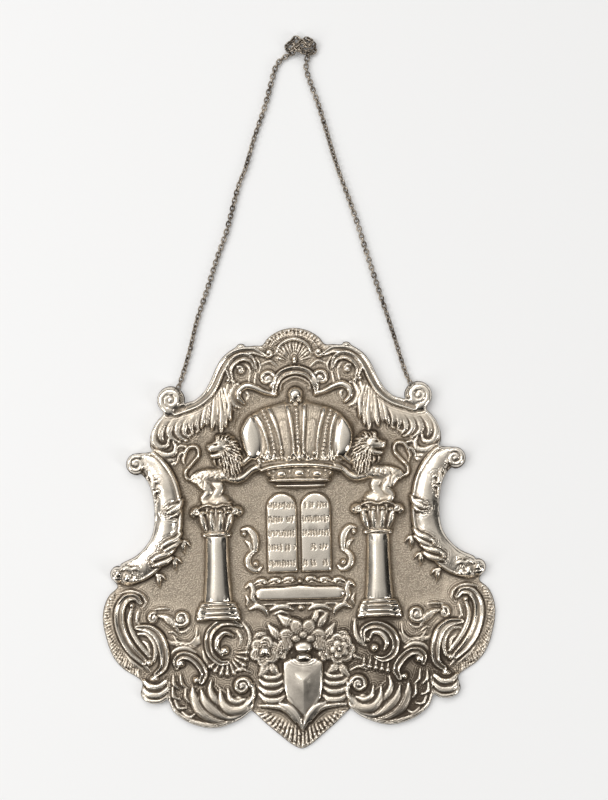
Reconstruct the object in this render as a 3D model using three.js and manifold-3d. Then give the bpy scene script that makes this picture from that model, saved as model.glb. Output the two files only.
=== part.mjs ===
// A silver Torah shield in repousse work, lying face up, with its hanging chain.
// Millimetres. +Z comes up out of the face, +Y runs from the tail to the top crest,
// and the origin is on the flat back, in the middle of the shield.
//
// The relief is drawn with raised strokes. A stroke has knots of
// [x, y, half width, height of its crest above the back], and its crest runs
// smoothly through them. What is alike on the two sides is drawn once, on the
// left, and mirrored.

import * as THREE from 'three';
import { mergeVertices } from 'three/addons/utils/BufferGeometryUtils.js';
import Module from 'manifold-3d';

const wasm = await Module();
wasm.setup();

// Sheet
const SHEET = 1.2;
const SUNK = 0.6;
const MIDDLE = 1.2;
const HIGHEST = 30;
const BEYOND = 1.02;

// Top volutes, which hide the hanging loops
const TOP_VOLUTE = { x: -94.5, y: 107.5, r: 10.6, rise: 8.2 };
const VOLUTE_WALL = 5.9;
const VOLUTE_ROOM = 4.8;

// Columns
const COLUMN_X = -61.5;
const COLUMN_TOP = 5;
const COLUMN_FOOT = -48;

// Tablets
const TABLET_WIDTH = 23.6;
const TABLET_GAP = 2.4;
const TABLET_TOP = 35.2;
const TABLET_FOOT = -25.6;
const TABLET_RISE = 4.4;

// Crown: half widths and heights going up its middle line
const CROWN = [
  [0.7, 58, 32, 8.6],
  [0.7, 66, 38.5, 11.6],
  [0.7, 78, 43, 13.6],
  [0.7, 88, 39.5, 13.6],
  [0.7, 95, 34, 12],
  [0.7, 100, 25, 9.4],
  [0.7, 102.5, 14, 6.5],
];

// Hanging loops and chain
const WIRE = 1.2;
const LOOP_RADIUS = 1.6;
const LOOP_OFFSET = { x: 1.6, y: 2.4 };
const LOOP_GAP = 0.3;
const CHAIN = 3.9;

// Metal left over a hollow of the back
const OVER_HOLLOW = 1.7;

// Section forms, as [place across from -1 to 1, share of the height]
const RIDGE = [[-1, 0], [0, 1], [1, 0]];
const ROUND = [[-1, 0], [-0.45, 1], [0.45, 1], [1, 0]];
const GUTTER = [[-1, 0], [-0.7, 1], [0, 0.6], [0.7, 1], [1, 0]];
const HALF_ROUND = [[-1, 0], [-0.86, 0.5], [-0.4, 0.92], [0.4, 0.92], [0.86, 0.5], [1, 0]];

const RIMMED = [
  [-1, 0], [-0.9, 0.76], [-0.78, 0.6], [-0.3, 1], [0.35, 0.96], [0.76, 0.5], [0.88, 0.6], [1, 0],
];
const BASE_MOULDING = [
  [-1, 0], [-0.94, 1], [-0.5, 1], [-0.4, 0.84], [-0.1, 0.94], [0.16, 0.8], [0.5, 0.86], [0.66, 0.68],
  [0.9, 0.72], [1, 0],
];
// Three hoops of two rails each go up over the crown, with its bare cap between them
const HOOPED = [
  [-1, 0], [-0.94, 0.42], [-0.78, 0.66], [-0.6, 0.76], [-0.55, 0.92], [-0.49, 0.8], [-0.37, 0.84],
  [-0.31, 0.99],
  [-0.26, 0.86], [-0.12, 0.88], [-0.07, 1.04], [-0.02, 0.9], [0.09, 0.9], [0.14, 1.03], [0.19, 0.87],
  [0.34, 0.84], [0.39, 0.97], [0.44, 0.81], [0.57, 0.77], [0.62, 0.9], [0.67, 0.71], [0.8, 0.64],
  [0.94, 0.42], [1, 0],
];
const LEAFY = [
  [-1, 0], [-0.8, 0.84], [-0.56, 0.7], [-0.32, 1], [0, 0.78], [0.32, 1], [0.56, 0.7], [0.8, 0.84], [1, 0],
];
const CIRCLET = [
  [-1, 0], [-0.94, 0.72], [-0.76, 0.72], [-0.7, 0.6], [-0.56, 0.84], [-0.4, 0.84], [-0.34, 0.7],
  [0.02, 0.86], [0.5, 0.76],
  [0.62, 1], [0.8, 1], [1, 0],
];

// A stroke gets a new section at least at this turn, length and change of width
const TURN_STEP = THREE.MathUtils.degToRad(84);
const LENGTH_STEP = 60;
const WIDTH_STEP = 8;

// Strokes whose half width ends below this run out to a point
const POINTED = 1.45;

// Eyes of volutes below this radius are plain beads
const SMALL_VOLUTE = 9;
const KNOTS_PER_TURN = 6;

// Solids from rings of points

function signedVolume(position, index) {
  let six = 0;
  const corner = (i) => new THREE.Vector3().fromArray(position, 3 * i);
  for (let i = 0; i < index.length; i += 3) {
    six += corner(index[i]).dot(corner(index[i + 1]).cross(corner(index[i + 2])));
  }
  return six / 6;
}

function toSolid(geometry) {
  const bare = geometry.index ? geometry.clone() : geometry;
  bare.deleteAttribute('normal');
  bare.deleteAttribute('uv');
  const joined = mergeVertices(bare, 1e-4);
  const vertProperties = Float32Array.from(joined.attributes.position.array);
  const corners = [...joined.index.array];
  const triVerts = new Uint32Array(corners.length);
  let used = 0;
  for (let i = 0; i < corners.length; i += 3) {
    const [a, b, c] = corners.slice(i, i + 3);
    if (a !== b && b !== c && c !== a) {
      triVerts.set([a, b, c], used);
      used += 3;
    }
  }
  return closedSolid(vertProperties, triVerts.slice(0, used));
}

function closedSolid(vertProperties, triVerts) {
  if (signedVolume(vertProperties, triVerts) < 0) {
    triVerts.reverse();
  }
  return new wasm.Manifold(new wasm.Mesh({ numProp: 3, vertProperties, triVerts }));
}

// Triangles that fill a section, turning the same way as the ring does
function capTriangles(ring) {
  const outline = ring.map((p) => p.flat);
  const turn = Math.sign(THREE.ShapeUtils.area(outline));
  return THREE.ShapeUtils.triangulateShape(outline, []).map(([a, b, c]) => {
    const same = turn * THREE.ShapeUtils.area([outline[a], outline[b], outline[c]]) > 0;
    return same ? [a, b, c] : [a, c, b];
  });
}

function loft(rings) {
  const around = rings[0].length;
  const index = [];
  for (let i = 0; i + 1 < rings.length; i += 1) {
    for (let j = 0; j < around; j += 1) {
      const k = (j + 1) % around;
      const [a, b, c, d] = [i * around + j, i * around + k, (i + 1) * around + j, (i + 1) * around + k];
      index.push(a, b, d, a, d, c);
    }
  }
  const last = (rings.length - 1) * around;
  for (const [a, b, c] of capTriangles(rings[0])) {
    index.push(a, c, b);
  }
  for (const [a, b, c] of capTriangles(rings[rings.length - 1])) {
    index.push(last + a, last + b, last + c);
  }
  const geometry = new THREE.BufferGeometry();
  const points = rings.flat().map((p) => p.at);
  geometry.setFromPoints(points);
  geometry.setIndex(index);
  return toSolid(geometry);
}

function curve(points) {
  return new THREE.CatmullRomCurve3(points.map(([x, y]) => new THREE.Vector3(x, y, 0)));
}

// Places of a stroke's sections, closer together where it bends or swells
function stations(line, size) {
  const fine = 60;
  const reach = [0];
  for (let i = 0; i < fine; i += 1) {
    const [a, b] = [i / fine, (i + 1) / fine];
    const bend = line.getTangent(a).angleTo(line.getTangent(b)) / TURN_STEP;
    const run = line.getPoint(a).distanceTo(line.getPoint(b)) / LENGTH_STEP;
    const swell = Math.abs(size.getPoint(a).x - size.getPoint(b).x) / WIDTH_STEP;
    reach.push(reach[i] + bend + run + swell);
  }
  const count = Math.max(2, Math.round(reach[fine]));
  const places = [];
  for (let k = 0; k <= count; k += 1) {
    const wanted = (reach[fine] * k) / count;
    const j = Math.max(1, reach.findIndex((value) => value >= wanted - 1e-9));
    places.push((j - 1 + (wanted - reach[j - 1]) / (reach[j] - reach[j - 1])) / fine);
  }
  return places;
}

// The stroke itself. Its sides start at the face of the sheet, or higher where
// wall or a knot's fifth value lifts them, and its skirt goes down into the sheet.
function stroke(knots, form = RIDGE, { foot = SUNK, wall = SHEET } = {}) {
  const line = curve(knots);
  const sizes = knots.map(([, , half, crest, base = wall]) => new THREE.Vector3(half, crest, base));
  const size = new THREE.CatmullRomCurve3(sizes);
  const rings = [];
  for (const place of stations(line, size)) {
    const middle = line.getPoint(place);
    const along = line.getTangent(place);
    const { x: width, y: crest, z: base } = size.getPoint(place);
    const tip = (place === 0 || place === 1) && width <= POINTED;
    const half = tip ? 0 : width;
    const rise = tip ? 0 : crest - base;
    const profile = form.map(([across, share]) => [across * half, base + share * rise]);
    profile.unshift([-half, foot]);
    profile.push([half, foot]);
    rings.push(profile.map(([s, z]) => ({
      flat: new THREE.Vector2(s, z),
      at: new THREE.Vector3(middle.x - along.y * s, middle.y + along.x * s, z),
    })));
  }
  return loft(rings);
}

// A flat topped form with bevelled edges, from an outline
function plateau(points, crest, bevel) {
  const shape = new THREE.Shape(points.map(([x, y]) => new THREE.Vector2(x, y)));
  const bevelThickness = 0.9 * (SHEET - SUNK);
  const depth = crest - SUNK - 2 * bevelThickness;
  const options = { depth, bevelThickness, bevelSize: bevel, bevelOffset: -bevel, bevelSegments: 1 };
  const geometry = new THREE.ExtrudeGeometry(shape, options);
  geometry.translate(0, 0, SUNK + bevelThickness);
  return toSolid(geometry);
}

function plate(points, low, high) {
  const shape = new THREE.Shape(points.map(([x, y]) => new THREE.Vector2(x, y)));
  const geometry = new THREE.ExtrudeGeometry(shape, { depth: high - low, bevelEnabled: false });
  geometry.translate(0, 0, low);
  return toSolid(geometry);
}

function disc(x, y, r, low, high, sides) {
  const geometry = new THREE.CylinderGeometry(r, r, high - low, sides);
  geometry.rotateX(Math.PI / 2);
  geometry.translate(x, y, (high + low) / 2);
  return toSolid(geometry);
}

// A low oval dome, and a bead as a small one
const DOME = [[1, 0], [0.7, 0.72], [0, 1]];
const BEAD = [[1, 0], [0, 1]];

function dome(x, y, rx, ry, crest, { turn = 0, sides = 6, wall = SHEET, profile = DOME } = {}) {
  const points = profile.map(([r, z]) => new THREE.Vector2(r, wall - SUNK + z * (crest - wall)));
  points.unshift(new THREE.Vector2(0, 0), new THREE.Vector2(1, 0));
  const geometry = new THREE.LatheGeometry(points, sides);
  geometry.rotateX(Math.PI / 2);
  geometry.scale(rx, ry, 1);
  geometry.rotateZ(THREE.MathUtils.degToRad(turn));
  geometry.translate(x, y, SUNK);
  return toSolid(geometry);
}

// Knots of a spiral that winds in from radius r, starting at an angle in degrees.
// A negative number of turns winds clockwise.
function spiral(x, y, r, start, turns, half, crest) {
  const count = Math.max(3, Math.round(Math.abs(turns) * KNOTS_PER_TURN));
  const knots = [];
  for (let i = 0; i <= count; i += 1) {
    const share = i / count;
    const angle = THREE.MathUtils.degToRad(start + 360 * turns * share);
    const reach = (r - half) * (1 - 0.62 * share);
    const [dx, dy] = [reach * Math.cos(angle), reach * Math.sin(angle)];
    knots.push([x + dx, y + dy, half * (1 - 0.45 * share), crest]);
  }
  return knots;
}

function volute(x, y, r, start, turns, half, crest, options = {}) {
  return [
    stroke(spiral(x, y, r, start, turns, half, crest), RIDGE, options),
    dome(x, y, 0.32 * r, 0.32 * r, crest + 0.8, { profile: r < SMALL_VOLUTE ? BEAD : DOME, ...options }),
  ];
}

// A strip of flutes between two curves
function fluted(inner, outer, count, rise) {
  const [from, to] = [curve(inner), curve(outer)];
  const lip = SHEET + 0.2;
  const rings = [];
  for (let i = 0; i <= 2 * count; i += 1) {
    const a = from.getPoint(i / (2 * count));
    const ridge = i % 2 === 1;
    const b = to.getPoint(i / (2 * count));
    const span = a.distanceTo(b);
    const edge = ridge ? lip + 0.6 * (rise - lip) : lip;
    const top = ridge ? rise : lip + 0.25 * (rise - lip);
    const section = [[0, SUNK], [0, top], [span, edge], [span, SUNK]];
    const out = b.clone().sub(a).normalize();
    rings.push(section.map(([d, z]) => ({
      flat: new THREE.Vector2(d, z),
      at: new THREE.Vector3(a.x + out.x * d, a.y + out.y * d, z),
    })));
  }
  return loft(rings);
}

const mirrorKnots = (knots) => knots.map(([x, ...rest]) => [-x, ...rest]);
const shiftKnots = (knots, dx) => knots.map(([x, ...rest]) => [x + dx, ...rest]);

// Strokes and domes on both sides of the shield, mirrored about x = axis
function pair(list, axis = 0) {
  const solids = [];
  for (const { knots, form = RIDGE, ...options } of list) {
    solids.push(stroke(shiftKnots(knots, axis), form, options));
    solids.push(stroke(shiftKnots(mirrorKnots(knots), axis), form, options));
  }
  return solids;
}

function domePair(list, axis = 0, options = {}) {
  const solids = [];
  for (const [x, y, rx, ry, crest, turn = 0] of list) {
    solids.push(dome(axis + x, y, rx, ry, crest, { turn, ...options }));
    solids.push(dome(axis - x, y, rx, ry, crest, { turn: -turn, ...options }));
  }
  return solids;
}

function volutePair(list, axis = 0, options = {}) {
  const solids = [];
  for (const [x, y, r, start, turns, half, crest] of list) {
    solids.push(...volute(axis + x, y, r, start, turns, half, crest, options));
    solids.push(...volute(axis - x, y, r, 180 - start, -turns, half, crest, options));
  }
  return solids;
}

// Outline of the sheet: the left half from the crest down to the tail, mirrored

function arc(x, y, r, from, to, count) {
  const points = [];
  for (let i = 0; i <= count; i += 1) {
    const angle = THREE.MathUtils.degToRad(THREE.MathUtils.lerp(from, to, i / count));
    points.push([x + r * Math.cos(angle), y + r * Math.sin(angle)]);
  }
  return points;
}

function outline() {
  const { x, y, r } = TOP_VOLUTE;
  const half = [
    [0, 160.7], [-8, 159.6], [-15, 156.6], [-20, 152.8], [-24, 148], [-36.5, 147.4], [-40.4, 149.6],
    [-44.4, 146.8], [-49.6, 143.6], [-55, 138.8], [-59.6, 131.6], [-64, 122], [-69.5, 113], [-76, 107.4],
    ...arc(x, y, r, -14, 230, 8),
    [-101, 96.4], [-104.8, 92.4], [-108.6, 86.6], [-111.2, 78], [-110.4, 68.4],
    ...arc(-121.5, 59, 8.3, 100, 292, 6),
    [-113.8, 45.6], [-110.8, 37.4], [-109.2, 27], [-109.2, 15], [-111, 5], [-116, -3.6], [-124, -11.2],
    [-134.6, -16.4],
    ...arc(-137.4, -24.6, 6.3, 74, 236, 4),
    [-138.4, -34.6], [-144.6, -40.6], [-148.2, -47.4], [-150, -56], [-149.5, -65], [-147.8, -73],
    [-145.2, -82],
    [-141, -90.4], [-134, -98], [-121.4, -106.8], [-122.2, -116.4], [-119.4, -121.8], [-113, -124.4],
    [-106, -123.8],
    [-101.6, -121.6], [-98.6, -129], [-94, -134], [-87, -138.8], [-79, -142], [-70.6, -143.8],
    [-62.4, -143.4],
    [-50, -139.2], [-38.6, -131.6], [-35.4, -133], [-22, -145.4], [-8.4, -156.8], [-2.4, -160.2],
    [0, -160.7],
  ];
  const other = half.slice(1, -1).reverse().map(([px, py]) => [-px, py]);
  return [...half, ...other];
}

// Crest: shell with rays under an arch, and the swirls beside it
function crest() {
  const arch = [
    [-13.5, 143, 1.2, 3.6], [-9.5, 149, 1.4, 4.4], [0, 152, 1.5, 4.8], [9.5, 149, 1.4, 4.4],
    [13.5, 143, 1.2, 3.6],
  ];
  const bow = [
    [-14.5, 113, 1.5, 4], [-13, 121, 2.3, 5.6], [0.7, 128.2, 2.7, 6.4], [14.4, 121, 2.3, 5.6],
    [15.9, 113, 1.5, 4],
  ];
  const rays = [[[-6, 133], [0, 139], [6, 133]], [[-13.5, 139], [0, 150.6], [13.5, 139]]];
  const brim = [
    [[-18, 144.6], [0, 153.6], [18, 144.6]],
    [[-24, 148], [-14.6, 156.8], [0, 160.7], [14.6, 156.8], [24, 148]],
  ];
  return [
    stroke(arch),
    stroke(bow, ROUND),
    fluted(...rays, 6, 3.8),
    fluted(...brim, 6, 3),
    ...volutePair([
      [-19, 142, 3.9, 200, 0.6, 1.5, 4.2],
      [-20.5, 122.5, 7.6, 300, 0.95, 2, 4.8],
      [-41, 129.5, 3.9, 120, -0.5, 1.5, 4.4],
    ]),
    ...pair([
      {
        knots: [
          [-49.6, 121, 1.6, 4], [-49, 130.5, 2.3, 5], [-42.6, 137.6, 2.5, 5.4], [-33.4, 136.6, 2.2, 5],
          [-30, 131, 1.2, 4],
        ],
      },
      {
        knots: [
          [-18, 110.8, 1.5, 4], [-30, 115.6, 2.1, 5.6], [-38.4, 116.6, 2.4, 5.8],
          [-42.4, 109.6, 2.2, 5.4], [-38.5, 104.4, 1.2, 3.6],
        ],
        form: ROUND,
      },
      { knots: [[-47.5, 117, 1.6, 3.6], [-48.2, 109, 2.4, 4.6], [-42, 101.6, 1.2, 3]] },
    ]),
    ...domePair([[-40.5, 147.6, 3.6, 2.6, 3.6]], 0),
  ];
}

// Polished S band from the small crest volute down the shoulder to the top volute
function shoulders() {
  const { x, y, r, rise } = TOP_VOLUTE;
  return [
    ...pair([
      {
        knots: [
          [-23, 140.5, 1.6, 4], [-32, 144.3, 2.6, 5], [-43, 143.3, 2.8, 5.4], [-51, 138.6, 3, 5.8],
          [-56.3, 130, 3.3, 6.2], [-61, 120, 3.4, 6.4], [-67, 111, 3.4, 6.6], [-75, 105, 3.3, 6.8],
          [-84, 102.5, 3.4, 7.2], [-91, 99.6, 3, 7.4],
        ],
        form: GUTTER,
      },
    ]),
    ...[x, -x].map((middle) => disc(middle, y, r - 0.6, SUNK, VOLUTE_WALL, 14)),
    ...volutePair([[x, y, r + 0.4, 262, -1.1, 3, rise]], 0, { wall: VOLUTE_WALL }),
  ];
}

// Acanthus that spreads from the shoulder over the side lobe
function acanthus() {
  return pair([
    {
      knots: [
        [-82, 98.5, 2, 4], [-94, 94.6, 4, 5.4], [-104, 87, 4.8, 6.4], [-106.6, 76.2, 3.8, 6.2],
        [-102.6, 71.8, 2.4, 5.2], [-98, 73.6, 1.4, 4.2],
      ],
      form: ROUND,
    },
    { knots: [[-79, 96, 1.8, 3.8], [-91, 91, 2.9, 5], [-98, 84, 2.6, 5.4], [-94.6, 79.4, 1.4, 4]] },
    { knots: [[-72, 101, 2, 4], [-81, 91, 2.8, 5.2], [-86.6, 82.6, 2.2, 4.8], [-81.4, 78, 1, 3.4]] },
    { knots: [[-67, 106, 2, 4], [-73, 94, 2.8, 5.2], [-76, 83.6, 1.4, 3.8]] },
    { knots: [[-62.6, 113, 2, 4.2], [-67, 97, 2.8, 5.4], [-69, 85.6, 1.3, 3.8]] },
    { knots: [[-59.5, 120, 1.8, 4.2], [-61.2, 100, 2.7, 5.4], [-61.4, 83, 1.2, 3.6]] },
    { knots: [[-55.6, 124, 1.6, 4], [-55.8, 106, 2.3, 5.2], [-51.6, 91, 1, 3.2]] },
    { knots: [[-109.6, 70, 1.6, 3.6], [-102, 67.4, 2.6, 4.8], [-91.6, 74, 1.8, 4.4]] },
  ]);
}

// Polished crescents in the concave sides, with their rims, leaflets and sprigs
const CRESCENT = [
  [-116, 63.4, 5.4, 6.5], [-108.4, 56.5, 8.2, 8.5], [-102, 45.5, 9.6, 10], [-99, 32, 10, 10.5],
  [-98.6, 18, 10.2, 10.5], [-101.4, 4, 10.2, 10.5], [-108.6, -8.4, 10.2, 10], [-118.4, -18.4, 10, 9],
  [-130, -24.6, 8.8, 7.6],
];

function crescents() {
  return [
    ...pair([
      { knots: CRESCENT, form: RIMMED },
      { knots: [[-101.6, 20.4, 1.4, 10.8, 9.6], [-95.6, 22.6, 2.6, 12, 9], [-88.8, 29, 1.4, 8.4, 5]] },
      { knots: [[-96, -13, 0.8, 3], [-95.8, -19.4, 1.8, 3.6], [-94, -25.4, 0.6, 2.4]] },
      { knots: [[-108, -25, 0.8, 3], [-107.8, -32, 1.8, 3.6], [-108, -38.4, 0.6, 2.4]] },
    ]),
    ...volutePair([[-121.4, 59, 8.1, 70, 1.05, 2.3, 7]], 0),
    ...domePair([[-137.2, -24.4, 6.2, 6.6, 8.4], [-129.4, -26.8, 4.4, 5.4, 9.2]], 0),
  ];
}

// Fluted side fringes, the long C bands inside them and the knobs below
function fringes() {
  const inner = [[-138, -38], [-141.6, -54], [-140, -70], [-134, -84], [-122, -97]];
  const outer = [[-141.6, -36.6], [-150, -55], [-147.6, -73], [-141.4, -90], [-122, -106.4]];
  return [
    fluted(inner, outer, 9, 3.2),
    fluted(mirrorKnots(inner), mirrorKnots(outer), 9, 3.2),
    ...pair([
      {
        knots: [
          [-121, -47, 1.4, 4.4], [-126.6, -41.8, 2.4, 5.4], [-135.4, -48, 3.3, 6],
          [-137, -61, 3.6, 6.6], [-132, -76, 3.6, 6.6], [-119, -91.6, 2.4, 5.4],
        ],
        form: GUTTER,
      },
      { knots: [[-127.4, -50, 1.3, 4.2], [-129, -63, 2, 5], [-115, -87, 1.5, 4.4]] },
      {
        knots: [
          [-124, -65.6, 1.6, 4.4], [-112, -67.6, 3, 6], [-104.2, -80, 3.5, 6.8],
          [-103.4, -92, 3.2, 6.6], [-110, -101.4, 1.8, 4.8],
        ],
        form: GUTTER,
      },
      {
        knots: [
          [-123, -70.4, 1.2, 4], [-113.4, -73, 1.8, 5], [-109.8, -84, 1.9, 5.4],
          [-113.4, -92.6, 2, 5.6],
        ],
      },
      { knots: [[-119, -106.6, 1.8, 4.4], [-111, -111.4, 2.6, 5.8], [-102.6, -106.4, 1.8, 4.6]] },
      { knots: [[-120.4, -112, 1.9, 4.6], [-111.4, -117.6, 2.8, 6], [-101.6, -112, 1.8, 4.6]] },
      { knots: [[-120.8, -117, 2, 4.4], [-112, -122.4, 2.6, 5.4], [-102, -118.4, 1.8, 4.2]] },
      { knots: [[-117.6, -49, 1.2, 3.4], [-121, -39.6, 1.8, 4.2], [-136.6, -38.4, 1.2, 3.4]] },
      { knots: [[-106.4, -55, 1.4, 3.8], [-101, -61, 1.9, 4.4], [-94.6, -65.6, 1.7, 4.6]] },
    ]),
    ...volutePair([
      [-89.8, -59, 7.2, 230, 1, 2, 5],
      [-111, -58.4, 5.4, 80, 0.8, 1.8, 4.4],
    ]),
  ];
}

// Lower lobes: volutes, swags of acanthus and their rims
function lobes() {
  return [
    ...pair([
      {
        knots: [
          [-100.4, -108, 1.5, 3.6], [-101, -120, 2.1, 4], [-89, -135.4, 2.5, 4.4],
          [-65, -141.2, 2.2, 4.2], [-43, -133.2, 1.6, 3.8],
        ],
      },
      {
        knots: [
          [-94, -97, 1.4, 4.4], [-94, -90, 2.2, 5.4], [-84, -88.2, 2.7, 6.2], [-74, -98, 2.6, 6.4],
          [-78.4, -108.6, 1.8, 5.6],
        ],
        form: ROUND,
      },
      { knots: [[-99, -88, 1.2, 3.6], [-90, -81.6, 1.9, 4.6], [-79.8, -85.4, 1.4, 4]] },
      {
        knots: [
          [-36.8, -112, 1.8, 5], [-40, -124.4, 2.4, 5.8], [-53, -130, 2.4, 5.6],
          [-60.6, -123.6, 1.2, 4.2],
        ],
        form: ROUND,
      },
      { knots: [[-35.4, -121, 1.2, 3.6], [-43.6, -132.6, 2, 4.8], [-63.4, -133, 1.3, 4]] },
      { knots: [[-90.6, -101, 1.4, 3.6], [-95.6, -116, 3, 5], [-90.4, -130.6, 1.4, 4]] },
      { knots: [[-84.6, -107, 1.4, 3.6], [-87.4, -122, 3, 5.2], [-79.4, -135, 1.4, 4]] },
      { knots: [[-76.6, -110, 1.4, 3.8], [-78.4, -124, 3, 5.2], [-69.4, -136.4, 1.4, 4]] },
      { knots: [[-67, -107, 1.4, 3.8], [-70, -119.6, 3, 5.2], [-64, -130.6, 1.2, 3.6]] },
    ]),
    ...volutePair([[-44.4, -111.8, 7.7, 5, 1.05, 2.1, 5.6]]),
    ...domePair([[-90.6, -93.6, 2.8, 2.8, 5.8]]),
  ];
}

// Scrolls under the columns: a C with a beaded shell on the left, a spiral on the right
function columnScrolls() {
  return [
    stroke([
      [-44, -66, 1.2, 4], [-56, -62.8, 2, 5.6], [-67.6, -69.4, 2.4, 6.2], [-69, -82, 2.4, 6.4],
      [-55, -94, 1.6, 5],
    ], ROUND),
    stroke([
      [-51, -73, 1.4, 4.8], [-60.6, -72.6, 2.2, 5.8], [-63.4, -81.4, 2, 5.8], [-59.4, -88, 1.2, 4.6],
    ]),
    stroke([[-43, -63.4, 1.2, 3.4], [-38.4, -74, 1.7, 4], [-41, -84, 1.2, 3.4]]),
    fluted(
      [[-46, -83], [-48.6, -90], [-56, -93], [-62.4, -94.6]],
      [[-40.6, -83.4], [-45, -98], [-56, -103.4], [-69.6, -99.4]], 8, 4.6,
    ),
    stroke([[42.4, -63, 1.2, 3.6], [43.4, -75, 2.1, 4.8], [50.6, -83, 1.2, 3.6]]),
    stroke([
      [49.4, -79, 1.4, 4.2], [50, -69.4, 2.1, 5.4], [62, -67.4, 2.4, 6.2], [72.6, -77, 2.5, 6.4],
      [70, -90, 2.3, 6.2], [58, -92, 1.2, 4.4],
    ], ROUND),
    stroke([[54, -76.6, 1.2, 4], [60.6, -72.6, 2, 5.2], [66.6, -80, 2, 5.4], [64.6, -86.6, 1.4, 4.8]]),
    fluted([[46, -93], [56, -95], [68, -97]], [[46, -100], [56, -103], [69, -102.4]], 5, 4.2),
  ];
}

// Tail: fan of flutes under two polished curls
function tail() {
  const inner = [[-27, -130.6], [-14, -137], [0, -141], [14, -137], [27, -130.6]];
  const outer = [[-36.6, -132.6], [-22.6, -146.4], [0, -160.7], [22.6, -146.4], [36.6, -132.6]];
  return [
    fluted(shiftKnots(inner, MIDDLE), shiftKnots(outer, MIDDLE), 9, 3.6),
    ...pair([
      { knots: [[-33, -127, 1, 3.4], [-18, -128, 1.9, 4.8], [-5.4, -139, 1.4, 4.6]] },
      { knots: [[-14.4, -126.6, 1.2, 4.6], [-5.4, -130.6, 2.3, 5.8], [0, -141, 1.2, 4.6]], form: ROUND },
    ], MIDDLE),
  ];
}

// Polished heart shaped shield with sharp facets, its stacked shells and the flowers above
function heart() {
  const [x, y, rise] = [MIDDLE + 1.2, -106, 9.5];
  const half = [
    [0, -92], [-9, -91.4], [-14.6, -95], [-14.4, -112], [-12.6, -122.6], [-5.6, -127.6], [0, -134],
  ];
  const rim = [...half, ...half.slice(1, -1).reverse().map(([px, py]) => [-px, py])];
  const corners = rim.map(([px, py]) => new THREE.Vector3(x + px, py, 4));
  const feet = corners.map((p) => new THREE.Vector3(p.x, p.y, SUNK));
  const position = [...feet, ...corners, new THREE.Vector3(x, y, rise), new THREE.Vector3(x, y, SUNK)];
  const n = rim.length;
  const index = [];
  for (let i = 0; i < n; i += 1) {
    const j = (i + 1) % n;
    index.push(i, j, n + j, i, n + j, n + i, n + i, n + j, 2 * n, j, i, 2 * n + 1);
  }
  const geometry = new THREE.BufferGeometry().setFromPoints(position);
  geometry.setIndex(index);
  const shells = [
    {
      knots: [
        [-33.4, -107.6, 1.2, 3.8], [-28.6, -110.6, 2.2, 5.2], [-21, -111, 2.2, 5.4],
        [-15.4, -108, 1.2, 4],
      ],
    },
    {
      knots: [
        [-34, -113, 1.2, 3.8], [-28.6, -116.6, 2.3, 5.2], [-21, -117, 2.3, 5.4],
        [-15.4, -113.6, 1.2, 4],
      ],
    },
    {
      knots: [
        [-34, -118.4, 1.2, 3.6], [-28.6, -122.6, 2.2, 4.8], [-20.6, -123.2, 2.2, 4.8],
        [-14.6, -120, 1.2, 3.6],
      ],
    },
  ];
  return [toSolid(geometry), ...pair(shells, MIDDLE + 1.2)];
}

function flower(x, y, r, petals, crest, turn = 0) {
  const solids = [dome(x, y, 0.36 * r, 0.36 * r, crest + 1.2, { profile: BEAD })];
  for (let i = 0; i < petals; i += 1) {
    const angle = turn + (360 * i) / petals;
    const a = THREE.MathUtils.degToRad(angle);
    const reach = 0.62 * r;
    const place = [x + reach * Math.cos(a), y + reach * Math.sin(a)];
    solids.push(dome(...place, 0.44 * r, 0.36 * r, crest, { turn: angle, sides: 5, profile: BEAD }));
  }
  return solids;
}

function bouquet() {
  const leaves = [
    [[-2, -62.6, 1.2, 3.4], [-9, -63, 3.4, 5], [-15.6, -58.6, 1, 3]],
    [[-14, -77, 1.2, 3.6], [-18.6, -71.6, 2.6, 4.8], [-23.6, -66, 0.8, 3]],
    [[8, -66, 1, 3.4], [12.4, -60, 2, 4.6], [13.4, -54.6, 0.8, 3]],
    [[14, -69, 1, 3.4], [17.6, -63, 2.2, 4.6], [21.6, -57.6, 0.8, 3]],
    [[18, -77.6, 1.2, 3.6], [22.4, -71.6, 2.4, 4.8], [26.4, -66, 0.8, 3]],
    [[-30.6, -103.4, 1.4, 3.6], [-27, -98.6, 2.8, 4.8], [-25.4, -94, 1, 3.4]],
    [[22, -102, 1.2, 3.6], [26, -98.6, 2.6, 4.8], [27.4, -94, 1, 3.4]],
    [[36.6, -105, 1.2, 3.6], [32.6, -100, 2.4, 4.6], [30.6, -95, 1, 3.4]],
  ];
  const petals = [[-9.4, -73.4, 160], [-2, -67.4, 110], [7, -67.6, 70], [14, -74, 20]];
  return [
    ...leaves.map((knots) => stroke(knots)),
    ...petals.map(([x, y, turn]) => dome(x, y, 5, 4.2, 6.2, { turn, profile: BEAD })),
    dome(2.8, -83.4, 7.4, 6.4, 7.4),
    dome(2.8, -90.4, 5.6, 3.4, 8),
    ...flower(-27, -85, 9.4, 5, 5.2, 20),
    ...flower(30.6, -86, 9.4, 5, 5.2),
    dome(-15, -86, 4.6, 5.4, 4.6),
    dome(19, -89, 3, 4.6, 4.4),
  ];
}

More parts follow.
